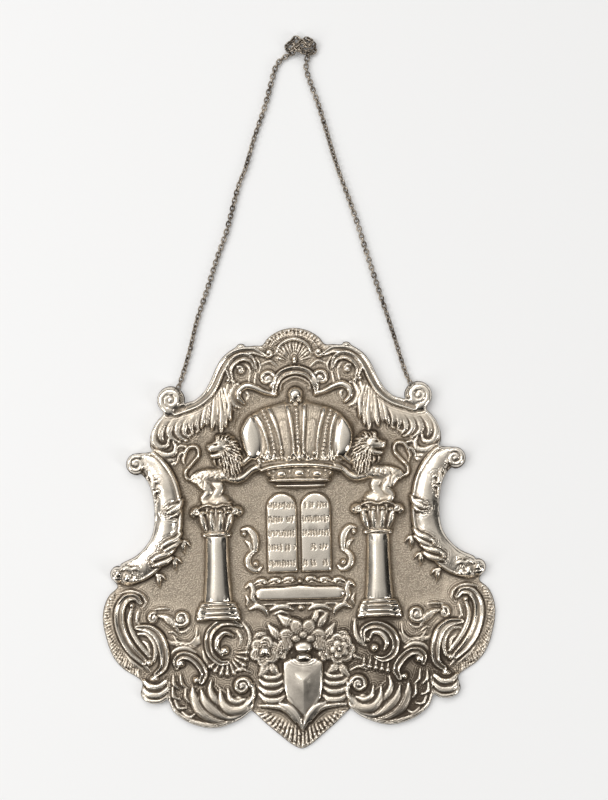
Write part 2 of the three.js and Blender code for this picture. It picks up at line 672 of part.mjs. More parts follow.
// Polished oblong plaque in a scrolled frame
function cartouche() {
  const half = [[-30, -46.6], [-33, -42], [-29, -37.2], [-12, -37.6], [0, -36.4]];
  const outline = [...half, ...half.slice(0, -1).reverse().map(([x, y]) => [-x, y])];
  return [
    plateau(outline.map(([x, y]) => [x + MIDDLE, y]), 4.6, 1),
    stroke([[-31 + MIDDLE, -35.4, 1, 3.4], [MIDDLE, -33.4, 2.4, 5], [31 + MIDDLE, -35.4, 1, 3.4]]),
    ...pair([
      { knots: [[-40.6, -36.4, 0.9, 3], [-36, -37, 1.8, 4.4], [-33.4, -48.6, 1.2, 3.8]] },
      { knots: [[-38.4, -53, 0.9, 3], [-31, -51.4, 1.9, 4.2], [-25.4, -57.8, 0.9, 3]] },
      { knots: [[-23, -54, 1, 3.4], [-13, -50.4, 2, 4.6], [-6, -53, 1.2, 3.8]] },
      { knots: [[-44, 2, 1.2, 3.4], [-39.6, 6.6, 1.9, 4.4], [-36, -6, 1.6, 4]] },
      { knots: [[-30.6, -9.4, 1.2, 3.6], [-39, -14.6, 2, 4.6], [-31.6, -23, 1.3, 3.8]] },
    ], MIDDLE),
    dome(MIDDLE + 1, -52.4, 3, 2.2, 4.8, { profile: BEAD }),
  ];
}

// Tablets of the Law: two round headed plaques
function tablets() {
  const radius = TABLET_WIDTH / 2;
  const solids = [];
  for (const side of [-1, 1]) {
    const x = MIDDLE + side * (TABLET_GAP / 2 + radius);
    const outline = [[x + radius, TABLET_FOOT]];
    const arcs = 7;
    for (let i = 0; i <= arcs; i += 1) {
      const angle = (Math.PI * i) / arcs;
      outline.push([x + radius * Math.cos(angle), TABLET_TOP - radius + radius * Math.sin(angle)]);
    }
    outline.push([x - radius, TABLET_FOOT]);
    solids.push(plateau(outline, TABLET_RISE, 0.9));
  }
  return solids;
}

// Half round columns with moulded bases and leafy capitals
function columns() {
  const arch = (y, half, rib, high) => [
    [COLUMN_X - half, y - 0.6, rib, 0.6 * high], [COLUMN_X, y, rib, high],
    [COLUMN_X + half, y - 0.6, rib, 0.6 * high],
  ];
  return pair([
    { knots: [[COLUMN_X, COLUMN_TOP, 8, 8.6], [COLUMN_X, COLUMN_FOOT, 9.8, 9.8]], form: HALF_ROUND },
    { knots: arch(-53.4, 15, 6.2, 12), form: BASE_MOULDING },
    { knots: arch(5.4, 11, 1.5, 10.4) },
    {
      knots: [
        [COLUMN_X, 6, 8.6, 9.6], [COLUMN_X, 13, 10.6, 12], [COLUMN_X, 20, 11.4, 11],
        [COLUMN_X, 21, 13.4, 9.6],
      ],
      form: LEAFY,
    },
    {
      knots: [
        [COLUMN_X - 14, 23.6, 2.2, 8], [COLUMN_X, 24, 2.6, 10], [COLUMN_X + 14, 23.6, 2.2, 8],
      ],
      form: ROUND,
    },
    { knots: [[-72.8, 20, 1.8, 8.4], [-77, 22.6, 2.2, 8.4], [-79.4, 18.8, 1.4, 6.4]] },
    { knots: [[-50.4, 21, 1.8, 8.4], [-45.4, 23.6, 2.2, 8.2], [-41, 20.2, 1.2, 5.6]] },
  ]);
}

// Rampant lions with turned heads, each with its paws on the crown and on a capital
function lions() {
  return [
    ...pair([
      {
        knots: [
          [-79, 46.6, 3, 5], [-68, 50.4, 5, 7.8], [-55, 55, 6.8, 9.6], [-48.6, 69, 5, 8.4],
        ],
        form: ROUND,
      },
      { knots: [[-74.6, 46, 3.8, 6.8], [-66.6, 37, 1.8, 5.4]] },
      { knots: [[-67, 37, 1.8, 5], [-71.4, 31.4, 2.6, 5.6], [-62.6, 24.8, 2, 6.6]] },
      { knots: [[-63.6, 47, 3, 6.4], [-59, 39.6, 2, 5.2], [-63, 32, 1.8, 4.8], [-53.6, 25.6, 1.8, 6.2]] },
      { knots: [[-53.4, 49.6, 3, 7], [-45, 46, 2.2, 5.8], [-35.6, 53, 1.8, 5.6], [-29.6, 55.6, 1.8, 5.8]] },
      {
        knots: [
          [-78, 46.6, 1.3, 4], [-84.6, 50, 1.3, 3.8], [-79.4, 59, 1.3, 3.8], [-74.6, 67, 1.3, 3.8],
          [-79.4, 72.4, 1.3, 3.8], [-84.6, 68, 1.3, 3.8],
        ],
      },
      { knots: [[-83.4, 69.6, 1, 3.4], [-87.6, 65, 2.2, 4], [-88, 58.6, 0.6, 2.8]] },
      {
        knots: [
          [-62.6, 78, 1.4, 6, 4], [-51, 79, 3, 8, 3], [-43.4, 66.6, 2.8, 7.6, 3], [-45, 54, 1.2, 5, 3],
        ],
      },
      { knots: [[-55, 75, 1.4, 8, 6], [-49.4, 62.6, 2.6, 11.4, 7.6], [-51, 49, 1.2, 7.4, 5.6]] },
    ]),
    ...domePair([[-61.6, 68.4, 7.4, 7.8, 11]]),
    ...domePair([[-64.6, 64.6, 3.6, 3.4, 12.4]], 0, { wall: 8 }),
    ...domePair([[-56.6, 75.6, 2.4, 2.4, 10.4]], 0, { profile: BEAD, wall: 6 }),
  ];
}

// Crown: a swelling body under polished and beaded ribs, with its orb and circlet

function crownHeight(x, y) {
  const row = Math.max(1, CROWN.findIndex((knot) => knot[1] >= y));
  const [low, high] = [CROWN[row - 1], CROWN[row]];
  const share = THREE.MathUtils.clamp((y - low[1]) / (high[1] - low[1]), 0, 1);
  const half = THREE.MathUtils.lerp(low[2], high[2], share);
  const top = THREE.MathUtils.lerp(low[3], high[3], share);
  const across = THREE.MathUtils.clamp((x - low[0]) / half, -1, 1);
  const spot = Math.max(1, HOOPED.findIndex((point) => point[0] >= across));
  const [left, right] = [HOOPED[spot - 1], HOOPED[spot]];
  const level = THREE.MathUtils.mapLinear(across, left[0], right[0], left[1], right[1]);
  return SHEET + level * (top - SHEET);
}

function crown() {
  const solids = [stroke(CROWN, HOOPED)];
  for (const across of [-0.43, 0.035, 0.505]) {
    for (const [x, y, half] of CROWN.slice(1, 4)) {
      const middle = x + across * half;
      const surface = crownHeight(middle, y);
      const bead = { sides: 4, profile: BEAD, wall: surface - 0.8 };
      solids.push(dome(middle, y, 2.3, 3.2, surface + 1.9, bead));
    }
  }
  for (const [x, y, r] of [[0.2, 109.6, 5], [-3.2, 105.6, 2.8], [3.6, 105.6, 2.8]]) {
    solids.push(dome(x, y, r, r, 8.4 + 0.3 * r));
  }
  solids.push(stroke([
    [-24, 46.4, 7.4, 5], [-13, 48.2, 8.2, 11], [2, 49, 8.4, 13.4], [17, 48.2, 8.2, 11], [28, 46.4, 7.4, 5],
  ], CIRCLET));
  const pearls = 7;
  for (let i = 0; i < pearls; i += 1) {
    const share = (2 * i) / (pearls - 1) - 1;
    const [x, y] = [1.6 + 33 * share, 61.6 - 2.4 * share * share + (i % 2 ? 2.6 : 0)];
    const surface = crownHeight(x, y);
    solids.push(dome(x, y, 2.4, 2.4, surface + 1.8, { sides: 5, profile: BEAD, wall: surface - 0.9 }));
  }
  return solids;
}

// Hollows of the back, under the high forms, and the way out for the chain

function core(knots, form) {
  const inset = knots.map(([x, y, half, height]) => [x, y, half - OVER_HOLLOW, height - OVER_HOLLOW]);
  return stroke(inset, form, { foot: -1 });
}

function hollows() {
  const crownCore = CROWN.slice(0, -1).map(([x, y, half, height]) => [x, y, half - 1, 0.86 * height]);
  const columnCore = [[COLUMN_X, COLUMN_TOP - 3, 8, 8.6], [COLUMN_X, COLUMN_FOOT + 3, 9.6, 9.6]];
  const bandCore = CRESCENT.slice(1);
  const { x, y, r } = TOP_VOLUTE;
  const solids = [core(crownCore, HALF_ROUND)];
  for (const side of [1, -1]) {
    const turned = (knots) => knots.map(([kx, ...rest]) => [side * kx, ...rest]);
    solids.push(core(turned(columnCore), ROUND));
    solids.push(core(turned(bandCore), ROUND));
    solids.push(disc(side * x, y, r - OVER_HOLLOW, -1, VOLUTE_ROOM, 12));
    const way = new THREE.BoxGeometry(14, CHAIN + 2.2, VOLUTE_ROOM + 1);
    way.translate(8, 0, (VOLUTE_ROOM - 1) / 2);
    way.rotateZ(side < 0 ? Math.PI - CHAIN_ANGLE : CHAIN_ANGLE);
    way.translate(side * x, y, 0);
    solids.push(toSolid(way));
  }
  return solids;
}

// Chain: it lies on the table from one loop round to the other, with a knot of
// slack at the top. The two runs leave the volutes at this angle.
const CHAIN_ANGLE = THREE.MathUtils.degToRad(58);
const CHAIN_LEFT = [
  [-91.5, 112.15], [-89.6, 115.4], [-86.6, 122], [-79.6, 144], [-73.4, 167.6], [-63.8, 195],
  [-56.6, 216.2], [-49.4, 235.2],
  [-39.9, 268.7], [-33.7, 283.8], [-26.4, 307.4], [-18.1, 330.1], [-13, 347.7], [-9.4, 359.6],
  [-5.4, 365.4], [-0.9, 368],
];
const CHAIN_RIGHT = [
  [91.5, 112.15], [89.6, 115.4], [86.6, 121], [82, 135.2], [75.8, 156.8], [66.7, 186], [61.3, 203.8],
  [56.7, 219.2], [50.3, 241.1],
  [43.9, 260.7], [36.5, 282.3], [28.3, 311.6], [23.8, 327.8], [17.4, 347], [14, 359], [11.9, 365.6],
];
const CHAIN_STEPS = 22;
const KNOT_OUTLINE = { x: 9.5, y: 375, half: 13, depth: 9 };
const KNOT_HEIGHT = 7.8;
const KNOT_ROUND = 1.4;

// The chain's height above the plane that the shield lies on
const LYING = 0.1;

function chainTube(route) {
  const z = CHAIN / 2 + LYING;
  const path = new THREE.CatmullRomCurve3(route.map(([x, y]) => new THREE.Vector3(x, y, z)));
  const ring = new THREE.Shape();
  const sides = 8;
  for (let i = 0; i < sides; i += 1) {
    const angle = ((i + 0.5) / sides) * 2 * Math.PI;
    const r = CHAIN / 2 / Math.cos(Math.PI / sides);
    ring[i ? 'lineTo' : 'moveTo'](r * Math.cos(angle), r * Math.sin(angle));
  }
  return new THREE.ExtrudeGeometry(ring, { steps: CHAIN_STEPS, bevelEnabled: false, extrudePath: path });
}

function chainKnot() {
  const { x, y, half, depth } = KNOT_OUTLINE;
  const outline = new THREE.Shape();
  outline.absellipse(x, y, half, depth, 0, 2 * Math.PI);
  const options = {
    depth: KNOT_HEIGHT - 2 * KNOT_ROUND, bevelThickness: KNOT_ROUND, bevelSize: KNOT_ROUND,
    bevelOffset: -KNOT_ROUND, bevelSegments: 1, curveSegments: 8,
  };
  const geometry = new THREE.ExtrudeGeometry(outline, options);
  geometry.translate(0, 0, KNOT_ROUND + LYING);
  return geometry;
}

function hangingLoop(side) {
  const ring = new THREE.TorusGeometry(LOOP_RADIUS, WIRE / 2, 5, 8);
  ring.rotateX(Math.PI / 2);
  ring.rotateZ(side * CHAIN_ANGLE);
  const z = VOLUTE_ROOM - LOOP_RADIUS - WIRE / 2 - LOOP_GAP;
  ring.translate(side * (TOP_VOLUTE.x + LOOP_OFFSET.x), TOP_VOLUTE.y + LOOP_OFFSET.y, z);
  return ring;
}

// Assembly

function toGeometry(solid) {
  const { numProp, vertProperties, triVerts } = solid.getMesh();
  const geometry = new THREE.BufferGeometry();
  const points = new Float32Array((vertProperties.length / numProp) * 3);
  for (let i = 0; i < points.length / 3; i += 1) {
    points.set(vertProperties.subarray(i * numProp, i * numProp + 3), 3 * i);
  }
  geometry.setAttribute('position', new THREE.BufferAttribute(points, 3));
  geometry.setIndex(new THREE.BufferAttribute(Uint32Array.from(triVerts), 1));
  return geometry;
}

function shieldGeometry() {
  const edge = outline();
  const raised = [
    crest(), shoulders(), acanthus(), crescents(), fringes(), lobes(), columnScrolls(), tail(),
    heart(), bouquet(), cartouche(), tablets(), columns(), lions(), crown(),
  ].flat();
  const beyond = edge.map(([x, y]) => [x * BEYOND, y * BEYOND]);
  const whole = raised.reduce((sum, solid) => sum.add(solid), plate(beyond, 0, SHEET));
  const trimmed = whole.intersect(plate(edge, -1, HIGHEST));
  return toGeometry(hollows().reduce((rest, solid) => rest.subtract(solid), trimmed));
}

function piece(name, geometry, colour, roughness) {
  const material = new THREE.MeshStandardMaterial({ color: colour, roughness, metalness: 1 });
  const mesh = new THREE.Mesh(geometry, material);
  mesh.name = name;
  return mesh;
}

const torahShield = new THREE.Group();
torahShield.add(
  piece('shield', shieldGeometry(), 0xb9b0a2, 0.3),
  piece('hanging_loop_left', hangingLoop(1), 0x9d968a, 0.4),
  piece('hanging_loop_right', hangingLoop(-1), 0x9d968a, 0.4),
  piece('chain_left', chainTube(CHAIN_LEFT), 0x847d72, 0.45),
  piece('chain_right', chainTube(CHAIN_RIGHT), 0x847d72, 0.45),
  piece('chain_slack', chainKnot(), 0x847d72, 0.45),
);

export default torahShield;
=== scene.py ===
import math

import bpy
import numpy as np
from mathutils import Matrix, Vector


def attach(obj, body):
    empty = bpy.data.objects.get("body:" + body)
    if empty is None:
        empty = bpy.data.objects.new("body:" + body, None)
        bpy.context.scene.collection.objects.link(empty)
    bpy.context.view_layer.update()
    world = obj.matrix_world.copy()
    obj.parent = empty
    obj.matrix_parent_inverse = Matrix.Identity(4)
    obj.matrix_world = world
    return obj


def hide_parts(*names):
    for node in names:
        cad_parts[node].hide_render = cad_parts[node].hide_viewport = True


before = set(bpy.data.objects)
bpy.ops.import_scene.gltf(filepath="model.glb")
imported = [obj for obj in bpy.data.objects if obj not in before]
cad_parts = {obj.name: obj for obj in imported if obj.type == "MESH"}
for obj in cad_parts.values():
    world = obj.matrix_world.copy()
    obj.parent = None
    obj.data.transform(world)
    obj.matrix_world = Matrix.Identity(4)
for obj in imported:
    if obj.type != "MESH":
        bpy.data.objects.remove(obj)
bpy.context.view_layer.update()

# An embossed silver Torah shield and its chain, lying on a pale table.
# Lengths are millimetres in the row frame until a mesh is written, in metres. Angles are degrees.

MM = 0.001

# The sheet: height of its plain ground, thickness, height of its rim, and triangles it is thinned to
SHEET = 1.2
THICKNESS = 1.0
EDGE = 0.75
FACES = 194000

# Grid of the relief: step, and reach from the origin
STEP = 0.5
HALF_X, HALF_Y = 153.0, 164.0

# Middle lines of the lower half, the lions and the crown, which hand work left a little off x = 0
MIDDLE = 1.2
LION_AXIS = 0.6
CROWN_X = 0.9

# The left top volute: middle and radius. The loop behind it, and the chain's way in to that under the
# sheet, which is turned WAY_TURN from +Y
TOP_VOLUTE = (-94.5, 107.5, 10.6)
LOOP = (-92.9, 109.9)
WAY_WIDE = 6.4
WAY_TURN = 32
WAY_ROOF = 5.8

# Strokes narrower than BROAD are worked this much fuller, so that they nearly touch
FULLNESS = 1.14
BROAD = 4.6

# Fine chased lines that repeat the edge of each form in the ornate parts, whose ground lies higher by LIFT
ECHO = 0.95
ECHO_FADE = 2.4
ECHO_PITCH = 1.6
ECHO_REACH = 4.0
LIFT = 0.7

# A form is chased round only where the field is lower than its crest by CLEAR, so everywhere for ABOVE_ALL
CLEAR = 0.6
ABOVE_ALL = 99.0

# Chain links of round wire, which touch end to end inside one another. The first one's middle lies
# FIRST of a pitch along the chain, and the chain lies CHAIN_Z above the table
WIRE = 1.15
LINK_LONG = 5.4
LINK_WIDE = 4.3
PITCH = LINK_LONG - 2 * WIRE
FIRST = 0.3
CHAIN_Z = 2.2
LINK_POINTS = 14
WIRE_POINTS = 6

# Camera, straight above the table: its lens, its place in metres and its roll
LENS = 85.0
CAMERA_AT = (0.0072, 0.1055, 1.445)
CAMERA_ROLL = -1.2


def make_camera():
    """A camera that looks down, its picture turned a little as the photograph's is."""
    data = bpy.data.cameras.new("camera")
    data.lens = LENS
    data.sensor_width = 36.0
    data.clip_end = 20.0
    camera = bpy.data.objects.new("camera", data)
    camera.location = CAMERA_AT
    camera.rotation_euler = (0.0, 0.0, math.radians(CAMERA_ROLL))
    bpy.context.collection.objects.link(camera)
    bpy.context.scene.camera = camera


make_camera()


# Curves and meshes


def spline(knots, density=0.4, closed=False):
    """Points about density apart on a smooth curve through knots of any width."""
    k = np.array(knots, float)
    if closed:
        k = np.vstack([k[-1], k, k[0], k[1]])
    else:
        k = np.vstack([2 * k[0] - k[1], k, 2 * k[-1] - k[-2]])
    out = []
    for i in range(1, len(k) - 2):
        p0, p1, p2, p3 = k[i - 1 : i + 3]
        n = max(2, int(np.linalg.norm((p2 - p1)[:2]) / density))
        t = np.linspace(0, 1, n, endpoint=False)[:, None]
        cubic = (2 * p1) + (p2 - p0) * t + (2 * p0 - 5 * p1 + 4 * p2 - p3) * t**2
        out.append(0.5 * (cubic + (3 * p1 - p0 - 3 * p2 + p3) * t**3))
    if not closed:
        out.append(k[-2:-1])
    return np.vstack(out)


def whole(half, axis=0.0, closed=False):
    """A line drawn for the left half, and its mirror image after it."""
    return half + [(2 * axis - x, *rest) for x, *rest in half[1 if closed else 0 : -1][::-1]]


def moved(line, by=0.0, mirror=False):
    """A line of points, mirrored about x = 0 if asked, and then moved along x."""
    return [(by + (-x if mirror else x), y) for x, y in line]


def even(points, gap):
    """Points gap apart along a polyline, and its length."""
    run = np.r_[0, np.cumsum(np.linalg.norm(np.diff(points, axis=0), axis=1))]
    at = np.arange(0, run[-1], gap)
    return np.stack([np.interp(at, run, points[:, i]) for i in range(points.shape[1])], 1), run[-1]


def make_mesh(name, verts, faces):
    """A mesh from arrays of points in millimetres and of triangles or quads."""
    mesh = bpy.data.meshes.new(name)
    mesh.vertices.add(len(verts))
    mesh.vertices.foreach_set("co", (np.asarray(verts) * MM).astype(np.float32).ravel())
    sides = faces.shape[1]
    mesh.loops.add(faces.size)
    mesh.loops.foreach_set("vertex_index", faces.astype(np.int32).ravel())
    mesh.polygons.add(len(faces))
    mesh.polygons.foreach_set("loop_start", np.arange(0, faces.size, sides, dtype=np.int32))
    mesh.update(calc_edges=True)
    mesh.validate()
    mesh.shade_smooth()
    piece = bpy.data.objects.new(name, mesh)
    bpy.context.collection.objects.link(piece)
    return piece


# Chain of oval wire links from the left loop, through the tangled slack, to the right loop

LEFT_RUN = [
    (-92.0, 111.3), (-89.6, 115.4), (-86.6, 122), (-79.6, 144), (-73.4, 167.6), (-63.8, 195), (-56.6, 216.2),
    (-49.4, 235.2), (-39.9, 268.7), (-33.7, 283.8), (-26.4, 307.4), (-18.1, 330.1), (-13, 347.7),
    (-9.4, 359.6), (-5.4, 365.4),
]
RIGHT_RUN = [
    (92.0, 111.3), (89.6, 115.4), (86.6, 121), (82, 135.2), (75.8, 156.8), (66.7, 186), (61.3, 203.8),
    (56.7, 219.2), (50.3, 241.1), (43.9, 260.7), (36.5, 282.3), (28.3, 311.6), (23.8, 327.8), (17.4, 347),
    (14, 359),
]
SLACK = [
    (-0.5, 368.4, 0.0), (5, 371, 1.6), (12, 374, 3.6), (19, 377.5, 2.4), (21.4, 373, 0.4), (17, 369.4, 0.2),
    (10, 372.6, 2.2), (3.6, 378.6, 0.8), (-0.6, 376, 0.0), (1.6, 371.8, 2.4), (8.4, 376.6, 4.4),
    (14.4, 381, 1.2), (18.6, 380, 0.6), (16.4, 374.6, 4.4), (9.6, 380.6, 2.2), (5.2, 382.4, 0.4),
    (4.6, 377.4, 3.4), (11.4, 370.6, 4.2), (17.4, 371.6, 2.8), (15.4, 367.4, 0.6),
]


def chain_path():
    """The chain's middle line, from its left end to its right end."""
    left = [(x, y, CHAIN_Z) for x, y in LEFT_RUN]
    right = [(x, y, CHAIN_Z) for x, y in reversed(RIGHT_RUN)]
    return spline(left + [(x, y, CHAIN_Z + z) for x, y, z in SLACK] + right, 0.5)


def link_shape():
    """Points and quads of one link, its length along x, with sides straighter than an oval's."""
    a = np.linspace(0, 2 * np.pi, LINK_POINTS, endpoint=False)
    b = np.linspace(0, 2 * np.pi, WIRE_POINTS, endpoint=False)
    long, wide = LINK_LONG / 2 - WIRE / 2, LINK_WIDE / 2 - WIRE / 2
    power = 0.8
    cx = long * np.sign(np.cos(a)) * np.abs(np.cos(a)) ** power
    cy = wide * np.sign(np.sin(a)) * np.abs(np.sin(a)) ** power
    out = np.stack([np.cos(a) / long, np.sin(a) / wide], 1)
    out /= np.linalg.norm(out, axis=1)[:, None]
    ring = np.zeros((LINK_POINTS, WIRE_POINTS, 3))
    ring[:, :, 0] = cx[:, None] + WIRE / 2 * np.cos(b) * out[:, :1]
    ring[:, :, 1] = cy[:, None] + WIRE / 2 * np.cos(b) * out[:, 1:]
    ring[:, :, 2] = WIRE / 2 * np.sin(b)
    i, j = np.meshgrid(np.arange(LINK_POINTS), np.arange(WIRE_POINTS), indexing="ij")
    i2, j2 = (i + 1) % LINK_POINTS, (j + 1) % WIRE_POINTS
    corners = [n * WIRE_POINTS + m for n, m in ((i, j), (i2, j), (i2, j2), (i, j2))]
    return ring.reshape(-1, 3), np.stack(corners, -1).reshape(-1, 4)


def make_chain():
    """One mesh of links, each turned a quarter from the last, on a chain that twists slowly."""
    path = chain_path()
    centres, length = even(path, PITCH)
    centres = centres[:-1] + FIRST * (centres[1:] - centres[:-1])
    ring, quads = link_shape()
    verts, faces = [], []
    rng = np.random.default_rng(7)
    for n, centre in enumerate(centres):
        ahead = centres[min(n + 1, len(centres) - 1)] - centres[max(n - 1, 0)]
        u = ahead / np.linalg.norm(ahead)
        side = np.cross((0, 0, 1.0), u)
        side /= np.linalg.norm(side)
        up = np.cross(u, side)
        roll = math.radians(20 + 24 * math.sin(0.13 * n) + 90 * (n % 2) + rng.uniform(-9, 9))
        v = math.cos(roll) * side + math.sin(roll) * up
        w = np.cross(u, v)
        link = centre + ring @ np.stack([u, v, w])
        link[:, 2] -= min(0.0, link[:, 2].min())
        verts.append(link)
        faces.append(quads + n * len(ring))
    piece = make_mesh("chain_links", np.vstack(verts), np.vstack(faces))
    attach(piece, "root")
    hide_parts("chain_left", "chain_right", "chain_slack")
    return piece, length


chain, chain_length = make_chain()


# Relief, worked as a height field over the plane of the table

NX, NY = int(2 * HALF_X / STEP) + 1, int(2 * HALF_Y / STEP) + 1
X, Y = np.meshgrid(np.linspace(-HALF_X, HALF_X, NX), np.linspace(-HALF_Y, HALF_Y, NY))
height = np.full(X.shape, SHEET)
shine = np.zeros(X.shape)
ground = np.ones(X.shape)


def inside_of(points, gx, gy):
    """Whether the points of a grid are inside an outline, row by row."""
    points = np.asarray(points, float)
    (x0, y0), (x1, y1) = points.T, np.roll(points, -1, axis=0).T
    out = np.zeros(gx.shape, bool)
    for row, y in enumerate(gy[:, 0]):
        hit = (np.minimum(y0, y1) <= y) & (np.maximum(y0, y1) > y)
        at = x0[hit] + (y - y0[hit]) * (x1 - x0)[hit] / (y1 - y0)[hit]
        out[row] = (gx[row][:, None] > at).sum(axis=1) % 2 == 1
    return out


def blur(field, sigma):
    """A grid softened over a distance in millimetres."""
    n = int(math.ceil(3 * sigma / STEP))
    kernel = np.exp(-0.5 * (np.arange(-n, n + 1) * STEP / sigma) ** 2)
    kernel /= kernel.sum()
    for axis in (0, 1):
        padded = np.pad(field, [(n, n) if a == axis else (0, 0) for a in (0, 1)], mode="edge")
        size = field.shape[axis]
        field = sum(w * np.take(padded, range(i, i + size), axis) for i, w in enumerate(kernel))
    return field


# Left half of the plain stippled ground behind the columns, the lions and the crown
PLAIN = [
    (0, 116), (-24, 110), (-40, 101), (-52, 82), (-84, 74), (-93, 56), (-88, 30), (-87, 5), (-95, -15),
    (-112, -34), (-110, -46), (-86, -51), (-78, -58), (-44, -60), (-24, -60), (0, -58),
]
ornate = 1 - blur(inside_of(whole(PLAIN, closed=True), X, Y).astype(float), 1.5)
height += LIFT * ornate


def smooth(t):
    """An even step from 0 to 1."""
    t = np.clip(t, 0, 1)
    return t * t * (3 - 2 * t)


def dip(s):
    """A half circle that is 1 at s = 0 and 0 at s = 1."""
    return np.sqrt(np.clip(1 - s * s, 0, 1))


# Height of a stroke across itself, from s = 0 at its middle to s = 1 at its edge
FORMS = {
    "round": dip,
    "ridge": lambda s: 1 - s**1.25,
    "flat": lambda s: smooth((1 - s) / 0.3),
    "gutter": lambda s: np.where(s < 0.76, 0.5 + 0.5 * smooth(s / 0.76), dip((s - 0.76) / 0.24)),
}


def patch(x0, x1, y0, y1):
    """Rows and columns of the grid that cover a rectangle."""
    c0, c1 = (max(0, int((v + HALF_X) / STEP)) for v in (x0, x1 + 2 * STEP))
    r0, r1 = (max(0, int((v + HALF_Y) / STEP)) for v in (y0, y1 + 2 * STEP))
    return slice(r0, r1), slice(c0, c1)


def raise_to(where, s, new, crest, polish, groove, add, half=None):
    """Raises the field to a form inside s = 1 and chases a line round it.

    An added form changes what is there by its height. In the ornate parts, a form whose half width is
    given gets several fading lines in place of the one.
    """
    field, bright, bare = height[where], shine[where], ground[where]
    inside = s < 1
    if add:
        field[inside] += new[inside]
        bright[inside] = polish
        if polish > 0.5:
            bare[inside] = 0
        if polish < 0.15:
            bare[inside] = 1
        return
    lower = field < crest - CLEAR
    line = np.clip(1 - ((s - 1.13) / 0.16) ** 2, 0, 1) * lower * groove
    if half is not None:
        off = (s - 1) * half
        echo = ECHO * np.exp(-off / ECHO_FADE) * np.cos(2 * np.pi * (off / ECHO_PITCH - 0.35))
        line = np.where(off > 0.45, -echo * ornate[where] * lower * (off < ECHO_REACH), line)
    field -= np.where(inside, 0, line)
    higher = inside & (new > field)
    field[higher] = new[higher]
    bright[higher] = polish
    bare[inside] = 0


def lay(knots, form="round", polish=0.45, veins=0, vein=0.5, base=SHEET, groove=0.35, add=False):
    """A raised stroke through knots of (x, y, half width, crest height), with veins along it."""
    p = spline(knots)
    if not add:
        p[:, 2] *= np.where(p[:, 2] < BROAD, FULLNESS, 1.0)
    half = np.maximum(p[:, 2], 0.25)
    reach = np.maximum(1.35 * half + 0.8, 0 if add else half + ECHO_REACH)
    where = patch(
        (p[:, 0] - reach).min(), (p[:, 0] + reach).max(), (p[:, 1] - reach).min(), (p[:, 1] + reach).max()
    )
    gx, gy = X[where], Y[where]
    far = np.full(gx.shape, 1e9)
    near = np.zeros(gx.shape, int)
    x0, y0 = gx[0, 0], gy[0, 0]
    for k, (x, y, r) in enumerate(zip(p[:, 0], p[:, 1], reach)):
        rows = slice(max(0, int((y - r - y0) / STEP)), int((y + r - y0) / STEP) + 2)
        cols = slice(max(0, int((x - r - x0) / STEP)), int((x + r - x0) / STEP) + 2)
        q = (gx[rows, cols] - x) ** 2 + (gy[rows, cols] - y) ** 2
        closer = q < far[rows, cols]
        far[rows, cols][closer] = q[closer]
        near[rows, cols][closer] = k
    t = np.gradient(p[:, :2], axis=0)
    t /= np.linalg.norm(t, axis=1)[:, None] + 1e-9
    dx, dy = gx - p[near, 0], gy - p[near, 1]
    along = dx * t[near, 0] + dy * t[near, 1]
    across = dy * t[near, 0] - dx * t[near, 1]
    past = ((near == 0) & (along < 0)) | ((near == len(p) - 1) & (along > 0))
    s = np.where(past, np.hypot(across, along), np.abs(across)) / half[near]
    # points of the grid that the stroke doesn't reach are well outside it
    s = np.where(far < 1e8, s, 9.0)
    f = FORMS[form](np.clip(s, 0, 1))
    crest = p[near, 3]
    new = crest * f if add else base + (crest - base) * f
    if veins:
        deep = 0.5 + 0.5 * np.cos(2 * np.pi * veins * across / half[near])
        new -= vein * deep * (1 - np.clip(s, 0, 1) ** 4)
    raise_to(where, s, new, crest, polish, groove, add, half[near] if half.max() < BROAD * 1.2 else None)


def pair(rows, axis=0.0, **how):
    """Strokes on both sides of x = axis, drawn for the left with x counted from it."""
    for knots in rows:
        for sign in (1, -1):
            k = np.array(knots, float)
            k[:, 0] = axis + sign * k[:, 0]
            lay(k, **how)


def dome(x, y, rx, ry, crest, turn=0.0, polish=0.6, base=SHEET, groove=0.35, add=False):
    """A round or oval boss, or a dish where an added crest is below 0."""
    r = max(rx, ry) + ECHO_REACH + 1
    where = patch(x - r, x + r, y - r, y + r)
    dx, dy = X[where] - x, Y[where] - y
    c, s = math.cos(math.radians(turn)), math.sin(math.radians(turn))
    q = np.hypot((dx * c + dy * s) / rx, (dy * c - dx * s) / ry)
    foot = 0 if add else base
    new = foot + (crest - foot) * dip(q)
    raise_to(where, q, new, crest, polish, groove, add, min(rx, ry))


def domes(rows, axis=0.0, **how):
    """Bosses on both sides of x = axis."""
    for x, y, rx, ry, crest, turn in rows:
        dome(axis + x, y, rx, ry, crest, turn, **how)
        dome(axis - x, y, rx, ry, crest, -turn, **how)


def volute(x, y, r, start, turns, half, crest, eye=0.36, **how):
    """A spiral that winds in from radius r, with a round eye."""
    knots = []
    count = max(6, int(abs(turns) * 14))
    for i in range(count + 1):
        share = i / count
        a = math.radians(start + 360 * turns * share)
        reach = (r - half) * (1 - 0.66 * share)
        knots.append((x + reach * math.cos(a), y + reach * math.sin(a), half * (1 - 0.42 * share), crest))
    lay(knots, **how)
    dome(x, y, eye * r, eye * r, crest + 0.4, polish=0.9)


def volutes(rows, axis=0.0, **how):
    """Spirals on both sides of x = axis."""
    for x, y, r, start, turns, half, crest in rows:
        volute(axis + x, y, r, start, turns, half, crest, **how)
        volute(axis - x, y, r, 180 - start, -turns, half, crest, **how)


